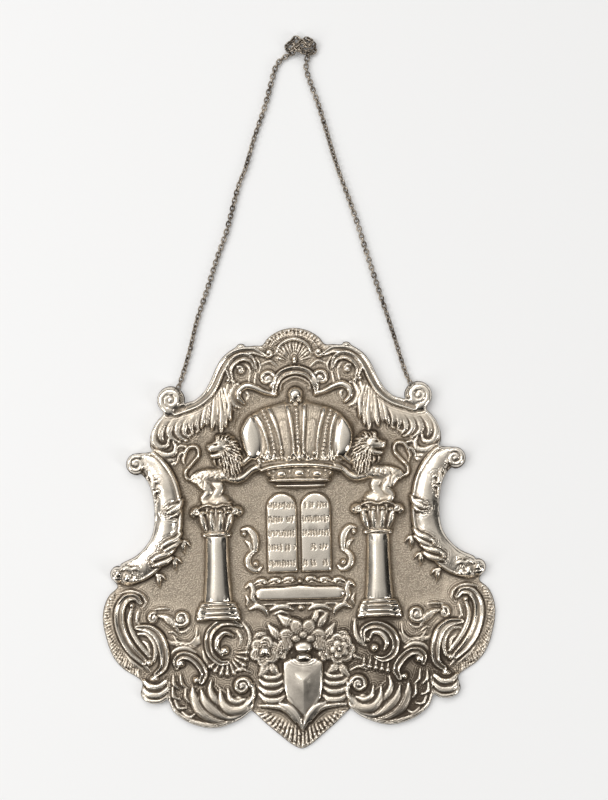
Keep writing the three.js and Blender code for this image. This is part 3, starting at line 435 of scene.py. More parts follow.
def fan(inner, outer, count, low, high, lip, **how):
    """Flutes side by side between two curves."""
    a, b = (c[np.linspace(0, len(c) - 1, 2 * count + 1).astype(int)] for c in (spline(inner), spline(outer)))
    for i in range(count):
        pa, pb = a[2 * i + 1], b[2 * i + 1]
        wa = np.linalg.norm(a[2 * i + 2] - a[2 * i]) / 2
        wb = np.linalg.norm(b[2 * i + 2] - b[2 * i]) / 2
        mid = (pa + pb) / 2
        lay([(*pa, wa, low), (*mid, (wa + wb) / 2, high), (*pb, wb, lip)], **how)


def edge_distance(points, gx, gy):
    """Distance of each point of a grid from an outline."""
    best = np.full(gx.shape, 1e9)
    for (x0, y0), (x1, y1) in zip(points, np.roll(points, -1, axis=0)):
        ex, ey = x1 - x0, y1 - y0
        t = np.clip(((gx - x0) * ex + (gy - y0) * ey) / (ex * ex + ey * ey + 1e-12), 0, 1)
        best = np.minimum(best, np.hypot(gx - x0 - t * ex, gy - y0 - t * ey))
    return best


def plaque(points, crest, bevel, polish=1.0, groove=0.5):
    """A flat topped form with rounded edges."""
    points = np.array(points, float)
    where = patch(
        points[:, 0].min() - 3, points[:, 0].max() + 3, points[:, 1].min() - 3, points[:, 1].max() + 3
    )
    gx, gy = X[where], Y[where]
    d = np.where(inside_of(points, gx, gy), 1, -1) * edge_distance(points, gx, gy)
    new = SHEET + (crest - SHEET) * np.sqrt(smooth(d / bevel))
    raise_to(where, np.where(d > 0, 0.5, 1 - d / 4), new, crest, polish, groove, False)


# Outline of the sheet, left half from the crest down to the tail


def arc(x, y, r, start, stop, count):
    """Points of a part of a circle."""
    a = np.radians(np.linspace(start, stop, count))
    return [(x + r * math.cos(v), y + r * math.sin(v)) for v in a]


OUTLINE = [
    (0, 160.7), (-8, 159.6), (-15, 156.6), (-20, 152.8), (-24, 148), (-30, 147.8), (-36.5, 147.4),
    (-38.4, 149.2), (-42, 149.2), (-44.4, 146.8), (-49.6, 143.6), (-55, 138.8), (-59.6, 131.6), (-64, 122),
    (-69.5, 113), (-76, 107.4), (-82, 105.6), *arc(*TOP_VOLUTE, -14, 230, 12), (-101, 96.4), (-104.8, 92.4),
    (-108.6, 86.6), (-111, 79.4), (-111.2, 72.6), (-110.4, 68.4), *arc(-121.5, 59, 8.3, 100, 292, 10),
    (-113.8, 45.6), (-110.8, 37.4), (-109.2, 27), (-109.2, 15), (-111, 5), (-116, -3.6), (-124, -11.2),
    (-134.6, -16.4),
    *arc(-137.4, -24.6, 6.3, 74, 236, 7), (-138.4, -34.6), (-144.6, -40.6), (-148.2, -47.4), (-150, -56),
    (-149.5, -65), (-147.8, -73), (-145.2, -82), (-141, -90.4), (-134, -98), (-121.4, -106.8),
    (-122.2, -116.4), (-119.4, -121.8), (-113, -124.4), (-106, -123.8), (-101.6, -121.6), (-98.6, -129),
    (-94, -134), (-87, -138.8), (-79, -142), (-70.6, -143.8), (-62.4, -143.4), (-54, -140.8), (-45.4, -136.8),
    (-38.6, -131.6), (-35.4, -133), (-26.6, -141.4), (-17, -149.6), (-8.4, -156.8), (-2.4, -160.2),
    (0, -160.7),
]


# Ornament. Strokes are drawn for the left side, and mirrored where the shield is symmetrical.


def chips(inner, outer, count, seed):
    """Short cuts that break up the flutes between two curves."""
    rng = np.random.default_rng(seed)
    a, b = spline(inner), spline(outer)
    for _ in range(count):
        u, v, size = rng.uniform(0.04, 0.96), rng.uniform(0.1, 0.8), rng.uniform(1.2, 2.2)
        pa, pb = a[int(u * (len(a) - 1))], b[int(u * (len(b) - 1))]
        x, y = pa + v * (pb - pa)
        dx, dy = size * (pb - pa) / np.linalg.norm(pb - pa)
        lay([(x - dy, y + dx, 0.5, -0.7), (x + dy, y - dx, 0.6, -0.9)], add=True, polish=0.3)


def fringes():
    """Chipped flutes along the lower sides, the tail and the brim, and fine ones over the shoulders."""
    side_in = [(-139, -39), (-142, -54), (-140.6, -70), (-134.6, -84), (-123, -96.4)]
    side_out = [(-143, -37.4), (-151, -55), (-149, -73), (-142.6, -90.6), (-122.6, -107.6)]
    for mirror in (False, True):
        lines = [moved(line, mirror=mirror) for line in (side_in, side_out)]
        fan(*lines, 31, 2.2, 3.4, 2.3, polish=0.35, form="ridge")
        chips(*lines, 34, 21)
    tail_in = whole([(-28, -131.6), (-16, -137), (-7, -141.6), (0, -143.4)])
    tail_out = whole([(-37.4, -132.6), (-27, -142.4), (-15, -152.6), (0, -163)])
    lines = [moved(line, MIDDLE) for line in (tail_in, tail_out)]
    fan(*lines, 23, 2.2, 3.6, 2.4, polish=0.4, form="ridge")
    chips(*lines, 44, 23)
    lines = [whole([(-19.6, 147), (-11, 152.4), (0, 154.4)]), whole([(-26, 148), (-16, 158), (0, 162.4)])]
    fan(*lines, 17, 2.2, 3.0, 2.2, polish=0.35, form="ridge")
    chips(*lines, 14, 25)
    band_in = [(-58.6, 124), (-53, 134), (-46, 141.6), (-38, 145.4)]
    band_out = [(-64, 124), (-58.6, 136), (-49, 146), (-40, 149)]
    pair([[(-24, 145.4, 1.6, 3), (-31, 147, 1.6, 3.2), (-37, 146.6, 1.2, 3)]], veins=1)
    for mirror in (False, True):
        fan(*(moved(line, mirror=mirror) for line in (band_in, band_out)), 12, 2.2, 3.2, 2.2)
    domes([(-40.4, 147.8, 3.6, 2.2, 3.8, 0), (-44, 146, 2.2, 1.7, 3.4, -30)])


def top_shell():
    """The shell under the brim, the arch round it and the scrolls beside it."""
    fan(whole([(-4.6, 135), (-3, 138), (0, 139.6)]), whole([(-13, 137), (-9, 145.6), (0, 150)]),
        13, 2.4, 4.0, 3.2, form="ridge", groove=0.5)
    lay(whole([(-14, 141, 1.0, 3.6), (-9.6, 148.4, 1.4, 4.8), (0, 152.2, 1.6, 5.2)]), polish=0.7)
    dome(0.6, 136.6, 2.2, 3.8, 5.2, polish=0.8)
    domes([(-2.8, 131.6, 2.0, 1.6, 4.4, 0)], axis=0.7)
    arch = [(-15.4, 111.6, 1.5, 4.2), (-14, 119.5, 2.6, 6.2), (-8.8, 126, 3.0, 7), (0.7, 128.6, 3.1, 7.4)]
    lay(whole(arch, 0.7), form="gutter", polish=0.9)
    lay(whole([(-10.4, 113.5, 0.8, 3), (-9.4, 119, 1.0, 3.6), (0.7, 123.4, 1.0, 3.8)], 0.7))
    domes([(-15.6, 110.4, 2.3, 2.3, 5, 0)], axis=0.7, polish=0.8)
    volutes([(-19, 142, 4.6, 200, 1.0, 1.3, 4.8), (-20.5, 122.5, 8.2, 300, 1.3, 2.0, 5.4),
             (-41, 129, 4.6, 120, -0.9, 1.5, 4.8)], polish=0.6)
    pair([
        [(-25, 133.5, 1.2, 3), (-18, 135.4, 1.9, 4.2), (-12.5, 131.4, 1.2, 3)],
        [(-29, 127, 1.0, 3), (-30, 119, 1.6, 3.8), (-25, 113.6, 1.1, 3)],
        [(-33, 127, 0.9, 2.6), (-34.4, 121.4, 1.5, 3.4), (-32, 118, 0.8, 2.4)],
        [(-28.6, 138.6, 1.0, 3.4), (-25.6, 133, 1.4, 4), (-26.6, 127.4, 0.9, 3)],
        [(-36.6, 133.6, 0.9, 3), (-33.6, 129.6, 1.3, 3.8), (-34.6, 125, 0.7, 2.6)],
    ], form="ridge", polish=0.4)
    pair([
        [(-48, 123, 1.6, 4), (-49.6, 130.5, 2.6, 5.4), (-45, 137, 3.0, 6), (-38.5, 139.4, 3.0, 6),
         (-32, 137, 2.5, 5.4), (-29.4, 130.4, 1.2, 4)],
    ], form="gutter", polish=0.6, veins=2)
    pair([
        [(-17, 110.4, 1.5, 4), (-23.5, 112.6, 2.1, 5.4), (-30, 115.8, 2.4, 6), (-36.5, 117.4, 2.7, 6.2),
         (-42, 113.8, 2.7, 6.2), (-42.6, 108.2, 2.2, 5.6), (-38.5, 103.6, 1.3, 4)],
    ], polish=0.95, groove=0.6)
    pair([
        [(-45.6, 118, 1.6, 3.8), (-49.2, 110, 2.6, 5.2), (-46.5, 103.4, 2.2, 4.8), (-41.6, 100.6, 1.1, 3)],
        [(-37.6, 113.4, 0.8, 3.2), (-35, 110.4, 1.3, 3.8), (-36.6, 106, 0.8, 3)],
    ], polish=0.5, veins=2)
    domes([(-50.4, 121.4, 2.2, 2.2, 5.2, 0), (-46.2, 120.4, 2.0, 2.0, 4.8, 0),
           (-43, 118.8, 1.6, 1.6, 4.2, 0)], polish=0.7)


def shoulders():
    """The polished rails down to the top volutes, and the volutes."""
    pair([
        [(-23, 140.5, 1.6, 4), (-32, 144, 2.6, 5), (-43, 142.6, 2.8, 5.4), (-51, 137.6, 3, 5.8),
         (-56.3, 129.4, 3.5, 6.4), (-61, 119.6, 3.8, 6.8), (-67, 111, 3.9, 7), (-75, 105, 3.8, 7.2),
         (-84, 101.6, 3.7, 7.6), (-91, 98.8, 3.2, 7.8)],
    ], form="gutter", polish=0.75, groove=0.6)
    x, y, r = TOP_VOLUTE
    for side in (1, -1):
        dome(side * x, y, 1.06 * r, 1.06 * r, 6.4, polish=0.6)
    volutes([(x, y, r + 0.6, 262, -1.45, 3.3, 8.6)], polish=0.85, base=5.2)


def acanthus():
    """Palm and acanthus leaves that hang from the shoulders."""
    palm = [(-71.4, 86.2), (-67.2, 88.6), (-63.2, 84.6), (-59.6, 88.4), (-56.2, 81.6), (-52.8, 86.4),
            (-49.2, 91.6)]
    flutes = []
    for i, (x, y) in enumerate(palm):
        u = i / (len(palm) - 1)
        rx, ry = -64.4 + 10.6 * u, 111 + 5.6 * u
        drop = i % 2
        flutes.append([
            (rx, ry, 1.0, 4.4),
            (0.45 * rx + 0.55 * x - 0.6 + 2.2 * u, 0.45 * ry + 0.55 * y, 1.9, 6.2 - 0.5 * drop),
            (0.18 * rx + 0.82 * x, 0.18 * ry + 0.82 * y, 2.2, 6.2 - 0.6 * drop),
            (x, y, 1.2, 4.6),
        ])
    pair(flutes, veins=1, vein=0.45, polish=0.5, groove=0.9)
    pair([
        [(-66.4, 107, 1.6, 4.4), (-72.6, 98, 2.4, 5.6), (-75.4, 90.6, 2.4, 5.6), (-73.4, 84, 0.7, 4)],
        [(-69.6, 104.4, 1.8, 4.4), (-76.2, 96.4, 2.6, 5.8), (-79.6, 89, 2.5, 5.8), (-78, 81.4, 0.7, 4)],
        [(-73.6, 101.4, 1.8, 4.4), (-79.6, 95, 2.6, 5.6), (-83.8, 88.6, 2.5, 5.8), (-84.4, 82.4, 1.9, 5.2),
         (-80.6, 78.2, 0.7, 4)],
        [(-77.6, 99, 1.8, 4.4), (-84.4, 94.6, 2.8, 5.8), (-89, 89, 2.8, 6), (-90, 83, 2.4, 5.8),
         (-87, 78.6, 1.7, 5), (-82.4, 76, 0.6, 4)],
        [(-81, 97.6, 1.8, 4.4), (-89.4, 94.2, 2.8, 5.8), (-94.6, 88.6, 3.0, 6.2), (-96.2, 82.4, 2.6, 6),
         (-93.4, 78, 1.8, 5.2), (-88, 75.4, 0.6, 4)],
        [(-84.6, 97.6, 1.8, 4.6), (-94.4, 94.4, 3.0, 6), (-100.8, 88.6, 3.2, 6.6), (-102.8, 82, 2.9, 6.6),
         (-101.6, 77.4, 1.8, 5.6)],
        [(-88, 98, 1.6, 4.6), (-98.6, 95.6, 2.8, 6), (-105, 90, 3.2, 7), (-108, 82.6, 3.2, 7.2),
         (-107.2, 76, 3.0, 7), (-103, 72, 2.4, 6.4), (-98, 73, 1.8, 5.6), (-96.6, 76.6, 1.2, 5)],
    ], veins=1, vein=0.45, polish=0.5, groove=0.8)
    # the small leaf that turns back under the curl, and the buds beside it
    pair([
        [(-109.6, 69.8, 1.6, 4.2), (-104, 67.4, 2.6, 5.4), (-97.8, 65.6, 2.5, 5.6), (-92.6, 67.4, 2.2, 5.4),
         (-91.4, 72, 1.8, 5), (-93.4, 76, 0.8, 4)],
        [(-100.6, 63.6, 0.9, 3.2), (-96.4, 61.6, 1.9, 4.4), (-91.4, 62.6, 0.8, 3.2)],
        [(-96.4, 58, 0.8, 2.8), (-93.4, 58.6, 1.6, 3.8), (-90.4, 60.4, 0.7, 3)],
    ], veins=1, polish=0.6, groove=0.7)
    pair([
        [(-50.6, 118, 1.4, 3.8), (-52.4, 109, 2.2, 4.8), (-49.4, 101.6, 1.8, 4.6), (-45.6, 99, 0.7, 3.4)],
    ], veins=2, polish=0.45)
    tips = [(-74.8, 83), (-80, 80.6), (-83, 76.4), (-88.6, 75.4), (-96.8, 77)]
    domes([(x, y, 1.8, 1.4, 4.8, 30) for x, y in tips], polish=0.7)


# Knots of a crescent's body
CRESCENT = [
    (-116, 63.4, 5.4, 6.5), (-108.4, 56.5, 8.4, 8.5), (-102, 45.5, 9.8, 10), (-99, 32, 10.2, 10.5),
    (-98.6, 18, 10.4, 10.5), (-101.4, 4, 10.4, 10.5), (-108.6, -8.4, 10.3, 10), (-118.4, -18.4, 10, 9),
    (-130, -24.6, 8.8, 7.6),
]


def sprig(x, y):
    """Two small leaves that spring from a crescent's edge at this point and hang down."""
    pair([
        [(x, y, 1.0, 4.6), (x + 1.7, y - 4, 2.0, 5), (x + 1.6, y - 7.4, 1.1, 4), (x + 2.6, y - 11, 0.4, 2.6)],
        [(x + 0.4, y - 0.2, 0.9, 4.4), (x + 4, y - 1.4, 1.5, 4.6), (x + 7.2, y - 5, 0.4, 2.6)],
    ], polish=0.7, veins=1, vein=0.35, groove=0.6)


def crescents():
    """The polished crescents with their raised edges, leaf clasps, sprigs and rolled ends."""
    pair([CRESCENT], polish=0.84, groove=0.8)
    # outer edge, then inner edge
    pair([
        [(-121, 67.6, 1.2, 6), (-112, 68.6, 1.7, 7.4), (-104, 63.4, 1.8, 8), (-97, 54.6, 1.8, 8.2),
         (-91.8, 43, 1.8, 8.2), (-89.2, 30, 1.8, 8.2), (-88.8, 16, 1.8, 8.2), (-91.2, 3, 1.8, 8.2),
         (-97.4, -9.4, 1.8, 8), (-106, -19.6, 1.7, 7.6), (-116, -27, 1.6, 7.2), (-127, -31.2, 1.3, 6.4)],
    ], polish=0.8, groove=0.7)
    pair([
        [(-113.6, 48.6, 1.0, 6), (-109.4, 37, 1.3, 7), (-108.2, 24, 1.3, 7), (-109.2, 11, 1.3, 7),
         (-114.8, -1, 1.3, 7), (-124, -10.4, 1.2, 6.6), (-135, -16.8, 1.0, 6)],
    ], polish=0.8, groove=0.5)
    clasps = [
        [(-87.2, 31, 1.2, 9.4), (-89.6, 26.6, 2.1, 11.6), (-94.6, 23.2, 2.5, 12.8), (-99.6, 21.6, 1.5, 12)],
        [(-90, 28.6, 0.9, 10.6), (-94.6, 27, 1.6, 12.2), (-98.6, 24.8, 0.8, 11.6)],
        [(-88.4, 24, 0.9, 9.6), (-91.6, 20.4, 1.5, 11.4), (-96.2, 18.6, 0.7, 11.4)],
        [(-88.6, 6, 1.2, 9.2), (-92, 2, 2.1, 11.4), (-97.6, -0.4, 2.5, 12.8), (-103, -3.2, 1.8, 12)],
        [(-89, 0.4, 1.0, 9), (-93.4, -3, 2.0, 11.4), (-99.4, -6.2, 1.8, 11.8), (-103.6, -7.4, 0.9, 11)],
        [(-94, -6.4, 1.2, 9), (-99.4, -9.2, 2.1, 11.2), (-105.6, -11, 2.5, 12.4), (-110.6, -13.4, 1.8, 11.4)],
        [(-95.6, -12.2, 1.0, 8.4), (-100.4, -15.4, 2.1, 10.6), (-106.6, -17.2, 1.9, 11),
         (-111, -18.4, 0.9, 10.4)],
        [(-111.8, 52.4, 0.9, 8), (-109, 46.8, 1.8, 9.8), (-108.8, 41.4, 1.9, 10.4), (-106.2, 40.6, 0.8, 10)],
        [(-109.6, 44.4, 0.8, 9), (-106, 46, 1.6, 10.8), (-103.4, 43.6, 0.8, 10.2)],
        [(-109.2, 40.6, 0.8, 9), (-108.8, 35.6, 1.7, 9.8), (-107.2, 31, 0.6, 9.2)],
        [(-108.8, 37, 0.8, 9.2), (-105.4, 38.6, 1.5, 10.8), (-103.2, 36.4, 0.7, 10.2)],
        [(-119.4, -22.6, 1.0, 8.8), (-123.6, -19.8, 1.9, 10.2), (-128.4, -21.6, 0.9, 9.4)],
        [(-125, -24.4, 1.0, 8.8), (-129.4, -19.8, 1.9, 10), (-134, -20.6, 0.9, 9)],
        [(-122, -28.6, 0.9, 8), (-127.6, -29, 1.7, 9), (-132.4, -28.4, 0.8, 8)],
    ]
    pair(clasps, polish=0.6, veins=1, vein=0.4, base=7.6, groove=1.0)
    domes([(-99.8, 22.8, 1.7, 1.7, 13, 0), (-103.6, -5, 1.9, 1.9, 13, 0), (-110.8, -15.4, 2.0, 2.0, 12.4, 0)],
          polish=0.9, base=8)
    for x, y in ((-88.8, 0.4), (-95.6, -12.6), (-108, -25)):
        sprig(x, y)
    volutes([(-121.4, 59, 8.7, 70, 1.3, 2.4, 7.8)], polish=0.85, base=4.0)
    pair([[(-111.6, 53, 0.9, 7), (-113.6, 47.4, 1.5, 8), (-112.6, 41.4, 0.9, 7)]], polish=0.7, base=3)
    domes([(-137.4, -24.4, 6.2, 6.8, 9, 0), (-130, -26.8, 4.6, 5.6, 9.8, 0), (-124.4, -28, 3.0, 3.9, 9.2, 0)],
          polish=0.75, groove=0.8)
    domes([(-137.2, -23.6, 2.6, 3.0, 10, 0)], polish=0.75, base=7.6, groove=0.8)


def side_scrolls():
    """The broad scrolls inside the side fringes, and the shells under them."""
    pair([
        [(-119, -50.6, 1.0, 3.4), (-116.6, -45.6, 1.6, 4.2), (-120, -40.2, 1.8, 4.6), (-128, -37.4, 1.8, 4.6),
         (-136.6, -39.2, 1.2, 3.6)],
        [(-105, -56, 1.2, 3.8), (-101, -61, 1.9, 4.8), (-95.6, -65.8, 1.4, 4.4)],
        [(-98, -52, 0.9, 3), (-104, -51.4, 1.7, 4.4), (-110.6, -52, 0.9, 3)],
        [(-96, -73, 1.0, 3.2), (-92.6, -77.2, 1.5, 3.8), (-85, -78.8, 1.6, 4), (-79.4, -74, 1.4, 3.8),
         (-78, -66.6, 0.8, 2.8)],
        [(-100, -69.6, 0.9, 3.2), (-96.6, -69.6, 1.4, 3.8), (-92.6, -72.6, 0.9, 3.2)],
        [(-84, -66.4, 0.9, 3), (-88, -69.6, 1.4, 3.8), (-93, -69.4, 0.9, 3)],
    ], form="ridge", polish=0.45)
    pair([
        [(-121, -47, 1.4, 4.4), (-124.6, -42.4, 2.3, 5.4), (-131.4, -43, 2.9, 6.2), (-136.4, -50.6, 3.5, 6.8),
         (-137, -61, 3.7, 7.2), (-133.6, -72.6, 3.8, 7.2), (-127.4, -83, 3.6, 7), (-119, -91.6, 2.6, 5.6)],
        [(-124, -65.6, 1.6, 4.4), (-115, -66.4, 2.9, 6.2), (-107.8, -71.8, 3.5, 7), (-104.2, -80, 3.6, 7.4),
         (-103.2, -88.6, 3.4, 7.2), (-104.6, -96.4, 2.8, 6.6), (-110, -101.4, 1.8, 5)],
    ], form="gutter", polish=0.75, groove=0.8)
    pair([
        [(-127.4, -50, 1.3, 4.2), (-129.6, -60, 1.9, 5.2), (-126.8, -70, 2.0, 5.4), (-121.4, -79, 2.0, 5.4),
         (-114.6, -87.6, 1.5, 4.6)],
        [(-122.6, -53, 1.0, 3.4), (-124, -60, 1.4, 4), (-121.4, -64, 0.8, 3)],
        [(-123, -70.4, 1.2, 4), (-116.4, -70.8, 1.8, 5.2), (-111.4, -76.4, 2.0, 5.6), (-109.8, -84, 2.0, 5.6),
         (-111.4, -91, 1.6, 5)],
        [(-119.4, -76, 1.0, 3.6), (-115.8, -79, 1.4, 4.4), (-114.6, -84.6, 1.0, 3.8)],
        [(-124, -86, 1.0, 3.6), (-118.4, -94.4, 1.5, 4.4), (-114.6, -99.4, 0.9, 3.4)],
        [(-133, -85.6, 0.9, 3), (-127.6, -92, 1.4, 3.6), (-120.6, -97.6, 0.8, 2.8)],
    ], polish=0.6, veins=1)
    for side in (1, -1):
        panel = [(-103, -71), (-97.6, -75.6), (-84, -77), (-75.4, -71), (-74.6, -79), (-81, -83), (-93, -81),
                 (-101.6, -79.6)]
        plaque([(side * x, y) for x, y in panel], 3.4, 1.4, polish=0.45)
    pair([[(-107.4, -56.6, 1.2, 4.2), (-101, -58.4, 2.6, 5.4), (-95.6, -62.6, 2.6, 5.4),
           (-92.6, -68.6, 1.2, 4.2)]],
         polish=0.5, veins=2, groove=0.7)
    cuts = []
    for i in range(7):
        x = 3.4 * i
        cuts.append([(x - 99, -77.4 - 0.4 * i, 0.4, -0.5), (x - 98, -80.4 - 0.3 * i, 0.4, -0.5)])
    pair(cuts, add=True, polish=0.2)
    domes([(-114.6, -92.4, 2.8, 2.8, 6.4, 0), (-127.4, -48.6, 2.4, 2.4, 5.6, 0)], polish=0.8)
    pair([
        [(-119.4, -106.4, 1.6, 4.6), (-114.6, -110.4, 2.5, 6.2), (-108, -110.8, 2.5, 6.2),
         (-102.2, -106.2, 1.6, 4.6)],
        [(-120.6, -112, 1.7, 4.8), (-115.4, -116.6, 2.7, 6.4), (-107.4, -117, 2.7, 6.4),
         (-101, -112.2, 1.7, 4.8)],
        [(-120.6, -117.4, 1.8, 4.4), (-115.6, -121.8, 2.5, 5.6), (-108, -122.4, 2.5, 5.6),
         (-101.6, -118.6, 1.8, 4.4)],
    ], polish=0.6, groove=0.7, veins=1)
    domes([(-111.4, -104.6, 4.0, 2.6, 6, 0)], polish=0.6)
    volutes([(-89.8, -59, 7.8, 230, 1.3, 2.0, 5.6), (-111, -58.4, 5.8, 80, 1.1, 1.7, 5)], polish=0.6)


def lower_lobes():
    """The two lobes beside the tail, with their torn leaves and volutes."""
    pair([
        [(-100.4, -108, 1.5, 3.4), (-101, -119, 2.1, 4), (-97.6, -128.6, 2.4, 4.4), (-89, -135.6, 2.5, 4.6),
         (-77, -140, 2.5, 4.6), (-65, -141.4, 2.5, 4.6), (-54, -138.8, 2.4, 4.4), (-43, -133.2, 1.6, 3.8)],
    ], polish=0.5, veins=1, groove=0.5)
    # chased lines of the lobe's floor, running in under the leaves
    rays = []
    ray = ((8, 0, 0.7, 0.8), (19, 0.12, 1.2, 1.0), (29, 0.3, 0.7, 0.6))
    for i in range(9):
        a = math.radians(214 + 12 * i)
        rays.append([(-70 + r * math.cos(a + lean), -104 + r * math.sin(a + lean), wide, high)
                     for r, lean, wide, high in ray])
    pair(rays, form="ridge", polish=0.35, add=True)
    pair([
        [(-97, -103, 1.4, 4), (-96.6, -109, 2.4, 5), (-93, -112.6, 1.4, 4.2)],
        [(-97.6, -112, 1.6, 4), (-97, -118.4, 2.6, 5), (-92.4, -121, 1.4, 4.2)],
        [(-96, -121.6, 1.6, 4), (-93, -127.6, 2.6, 5), (-87.6, -127.4, 1.4, 4.2)],
        [(-90.6, -130.6, 1.4, 4), (-85.4, -134.4, 2.4, 4.8), (-80.4, -132, 1.2, 4)],
        [(-91.6, -101.6, 1.2, 3.8), (-90.6, -108.6, 2.2, 4.8), (-87, -112.6, 1.2, 4)],
        [(-88, -113, 1.2, 3.6), (-87.6, -120, 2.2, 4.8), (-83.6, -124.6, 1.2, 3.8)],
    ], veins=2, polish=0.45, groove=0.7, form="ridge")
    pair([
        [(-82.4, -111.6, 1.0, 4), (-81.6, -119.6, 3.4, 5.8), (-76.6, -129.6, 4.2, 6.2),
         (-66.6, -136.4, 3.4, 5.4), (-57, -138.6, 1.2, 3.8)],
        [(-76, -113.6, 1.0, 4), (-73.6, -121.6, 3.2, 6.2), (-67.6, -129, 3.8, 6.4), (-58.6, -134.6, 2.6, 5.2),
         (-51, -136, 1.0, 3.6)],
        [(-68, -106.6, 0.9, 3.6), (-69, -114, 2.4, 5.4), (-65.6, -121, 2.8, 5.6), (-60.6, -126.6, 1.2, 4)],
        [(-61.6, -114.6, 1.0, 4), (-60, -123.6, 3.0, 6), (-53.6, -129.6, 4.0, 6.6), (-44.6, -129, 3.8, 6.4),
         (-38, -121.6, 2.4, 5.4)],
        [(-55.6, -113.6, 0.9, 3.6), (-54, -120.6, 2.2, 5.4), (-48.6, -123.6, 2.4, 5.6),
         (-42.6, -121.6, 1.2, 4.4)],
    ], veins=3, vein=0.4, polish=0.5, groove=0.8)
    pair([
        [(-94, -97, 1.4, 4.6), (-94.8, -91.4, 2.2, 5.8), (-90, -87.4, 2.7, 6.4), (-83, -88.6, 2.9, 6.8),
         (-76.8, -94, 2.9, 7), (-73.2, -101, 2.6, 6.8), (-75.4, -107.6, 2.0, 5.8)],
    ], form="gutter", polish=0.8, groove=0.8)
    domes([(-90.6, -93.6, 3.2, 3.2, 6.4, 0), (-79.4, -106.4, 3.0, 3.0, 6.4, 0)], polish=0.8)
    pair([
        [(-99, -88, 0.9, 3.4), (-94.6, -83, 1.7, 4.8), (-87, -81.6, 1.9, 5), (-79.8, -85, 1.2, 4)],
        [(-74, -84.4, 1.0, 3.4), (-72.6, -90, 1.5, 4.2), (-70, -96, 0.9, 3.4)],
    ], polish=0.5, veins=1)
    pair([
        [(-36.4, -111, 1.8, 5), (-36, -118.4, 2.0, 6), (-39.4, -125, 1.9, 6), (-44, -128.6, 1.0, 5)],
        [(-35.4, -121, 1.0, 3.6), (-39, -129, 1.8, 4.8), (-47, -134.2, 2.1, 5), (-56, -135.8, 2.0, 4.8),
         (-63.4, -132.8, 1.2, 4)],
    ], polish=0.7, groove=0.7)
    volutes([(-44.4, -111.8, 8.4, 5, 1.35, 2.1, 6.2)], polish=0.7)
    pair([
        [(-52, -121.4, 0.9, 3.2), (-47, -120.6, 1.4, 4), (-43, -122, 0.8, 3)],
        [(-50.6, -100.6, 0.9, 3.4), (-44.6, -98.4, 1.5, 4.2), (-38, -101.4, 0.9, 3.4)],
    ], polish=0.5)


def column_scrolls():
    """The open scrolls under the column feet, which differ from side to side."""
    lay([(-44, -66, 1.2, 4), (-51, -63.2, 2.0, 5.4), (-60, -63.4, 2.4, 6.2), (-67.6, -69.4, 2.7, 6.8),
         (-69.8, -78, 2.7, 7), (-67.6, -87, 2.5, 6.8), (-61.4, -93.2, 2.0, 6), (-55, -93.6, 1.5, 5)],
        form="gutter", polish=0.8, groove=0.8)
    lay([(-51, -73, 1.3, 4.8), (-56.6, -70.4, 1.9, 5.8), (-62, -74.6, 2.4, 6.4), (-63.4, -81.4, 2.2, 6.4),
         (-59.4, -88, 1.3, 5)], polish=0.95, groove=0.6)
    lay([(-43, -63.4, 0.9, 3.2), (-38.8, -70, 1.6, 4.2), (-38.2, -78, 1.7, 4.2), (-41, -84.6, 0.9, 3.2)],
        veins=1)
    lay([(-47.6, -69.6, 0.9, 3), (-44.6, -75, 1.5, 3.8), (-46, -81, 0.8, 3)], veins=1)
    # shells that hang round the left scroll, and in a row under the right one
    flute = ((7.4, 0.9, 4), (11, 1.5, 5), (14, 1.9, 4.6))
    for i in range(9):
        a = math.radians(218 + 18 * i)
        c, s = math.cos(a), math.sin(a)
        lay([(-56 + r * c, -86.6 + r * s, wide, high) for r, wide, high in flute], form="ridge")
        dome(-56 + 15.8 * c, -86.6 + 15.8 * s, 2.3, 2.3, 4.8, polish=0.6)
    domes([(-57, -84.4, 3.6, 3.6, 6.6, 0)], polish=0.9)
    lay([(42.4, -63, 1.1, 3.6), (42.6, -72, 2.0, 4.8), (46, -79.4, 2.0, 4.8), (50.6, -83, 1.1, 3.6)], veins=1)
    lay([(49, -79, 1.4, 4.2), (48.4, -71.6, 2.2, 5.6), (54, -67.2, 2.5, 6.4), (62, -67.2, 2.7, 6.8),
         (69.8, -72.2, 2.8, 7), (73.4, -80.6, 2.8, 7), (70.8, -89.4, 2.5, 6.8), (63.6, -93.4, 2.0, 6),
         (57.6, -91.6, 1.2, 4.6)],
        form="gutter", polish=0.8, groove=0.8)
    lay([(54, -76.6, 1.2, 4.2), (56.4, -72.6, 1.7, 5.2), (62.6, -73.8, 2.3, 6), (66.6, -80, 2.3, 6),
         (64.6, -85.8, 1.4, 5)],
        polish=0.95, groove=0.6)
    lay([(38.6, -84.6, 0.9, 3), (41.6, -90.4, 1.6, 4), (47, -92.6, 0.9, 3.2)], veins=1)
    for i in range(6):
        x, y = 48.6 + 4.6 * i, -97.6 - 1.1 * i
        dome(x, y, 2.3, 2.3, 4.8, polish=0.6)
        lay([(x + 0.6, y + 6, 0.9, 3.8), (x, y + 3, 1.5, 4.6)], form="ridge")
    dome(52.4, -78, 2.2, 2.2, 5.6, polish=0.9)


def tail():
    """The leaves that frame the tail's flutes, and its bead."""
    pair([
        [(-33, -127, 1.2, 3.8), (-24, -127.4, 1.8, 5), (-16, -128.8, 2.0, 5.6), (-10, -133, 1.9, 5.6),
         (-5.4, -139.4, 1.2, 4.6)],
        [(-30, -123.4, 0.8, 3), (-22, -124, 1.4, 4), (-15.4, -124.6, 0.8, 3)],
    ], axis=MIDDLE, polish=0.6)
    pair([
        [(-17.4, -125.4, 1.2, 4.6), (-10.4, -128.4, 3.0, 6.4), (-4.4, -135, 3.2, 6.4),
         (-0.6, -144, 1.6, 4.8)],
    ], axis=MIDDLE, polish=0.9, groove=0.8)
    dome(MIDDLE, -145, 1.6, 2.6, 5, polish=0.7)


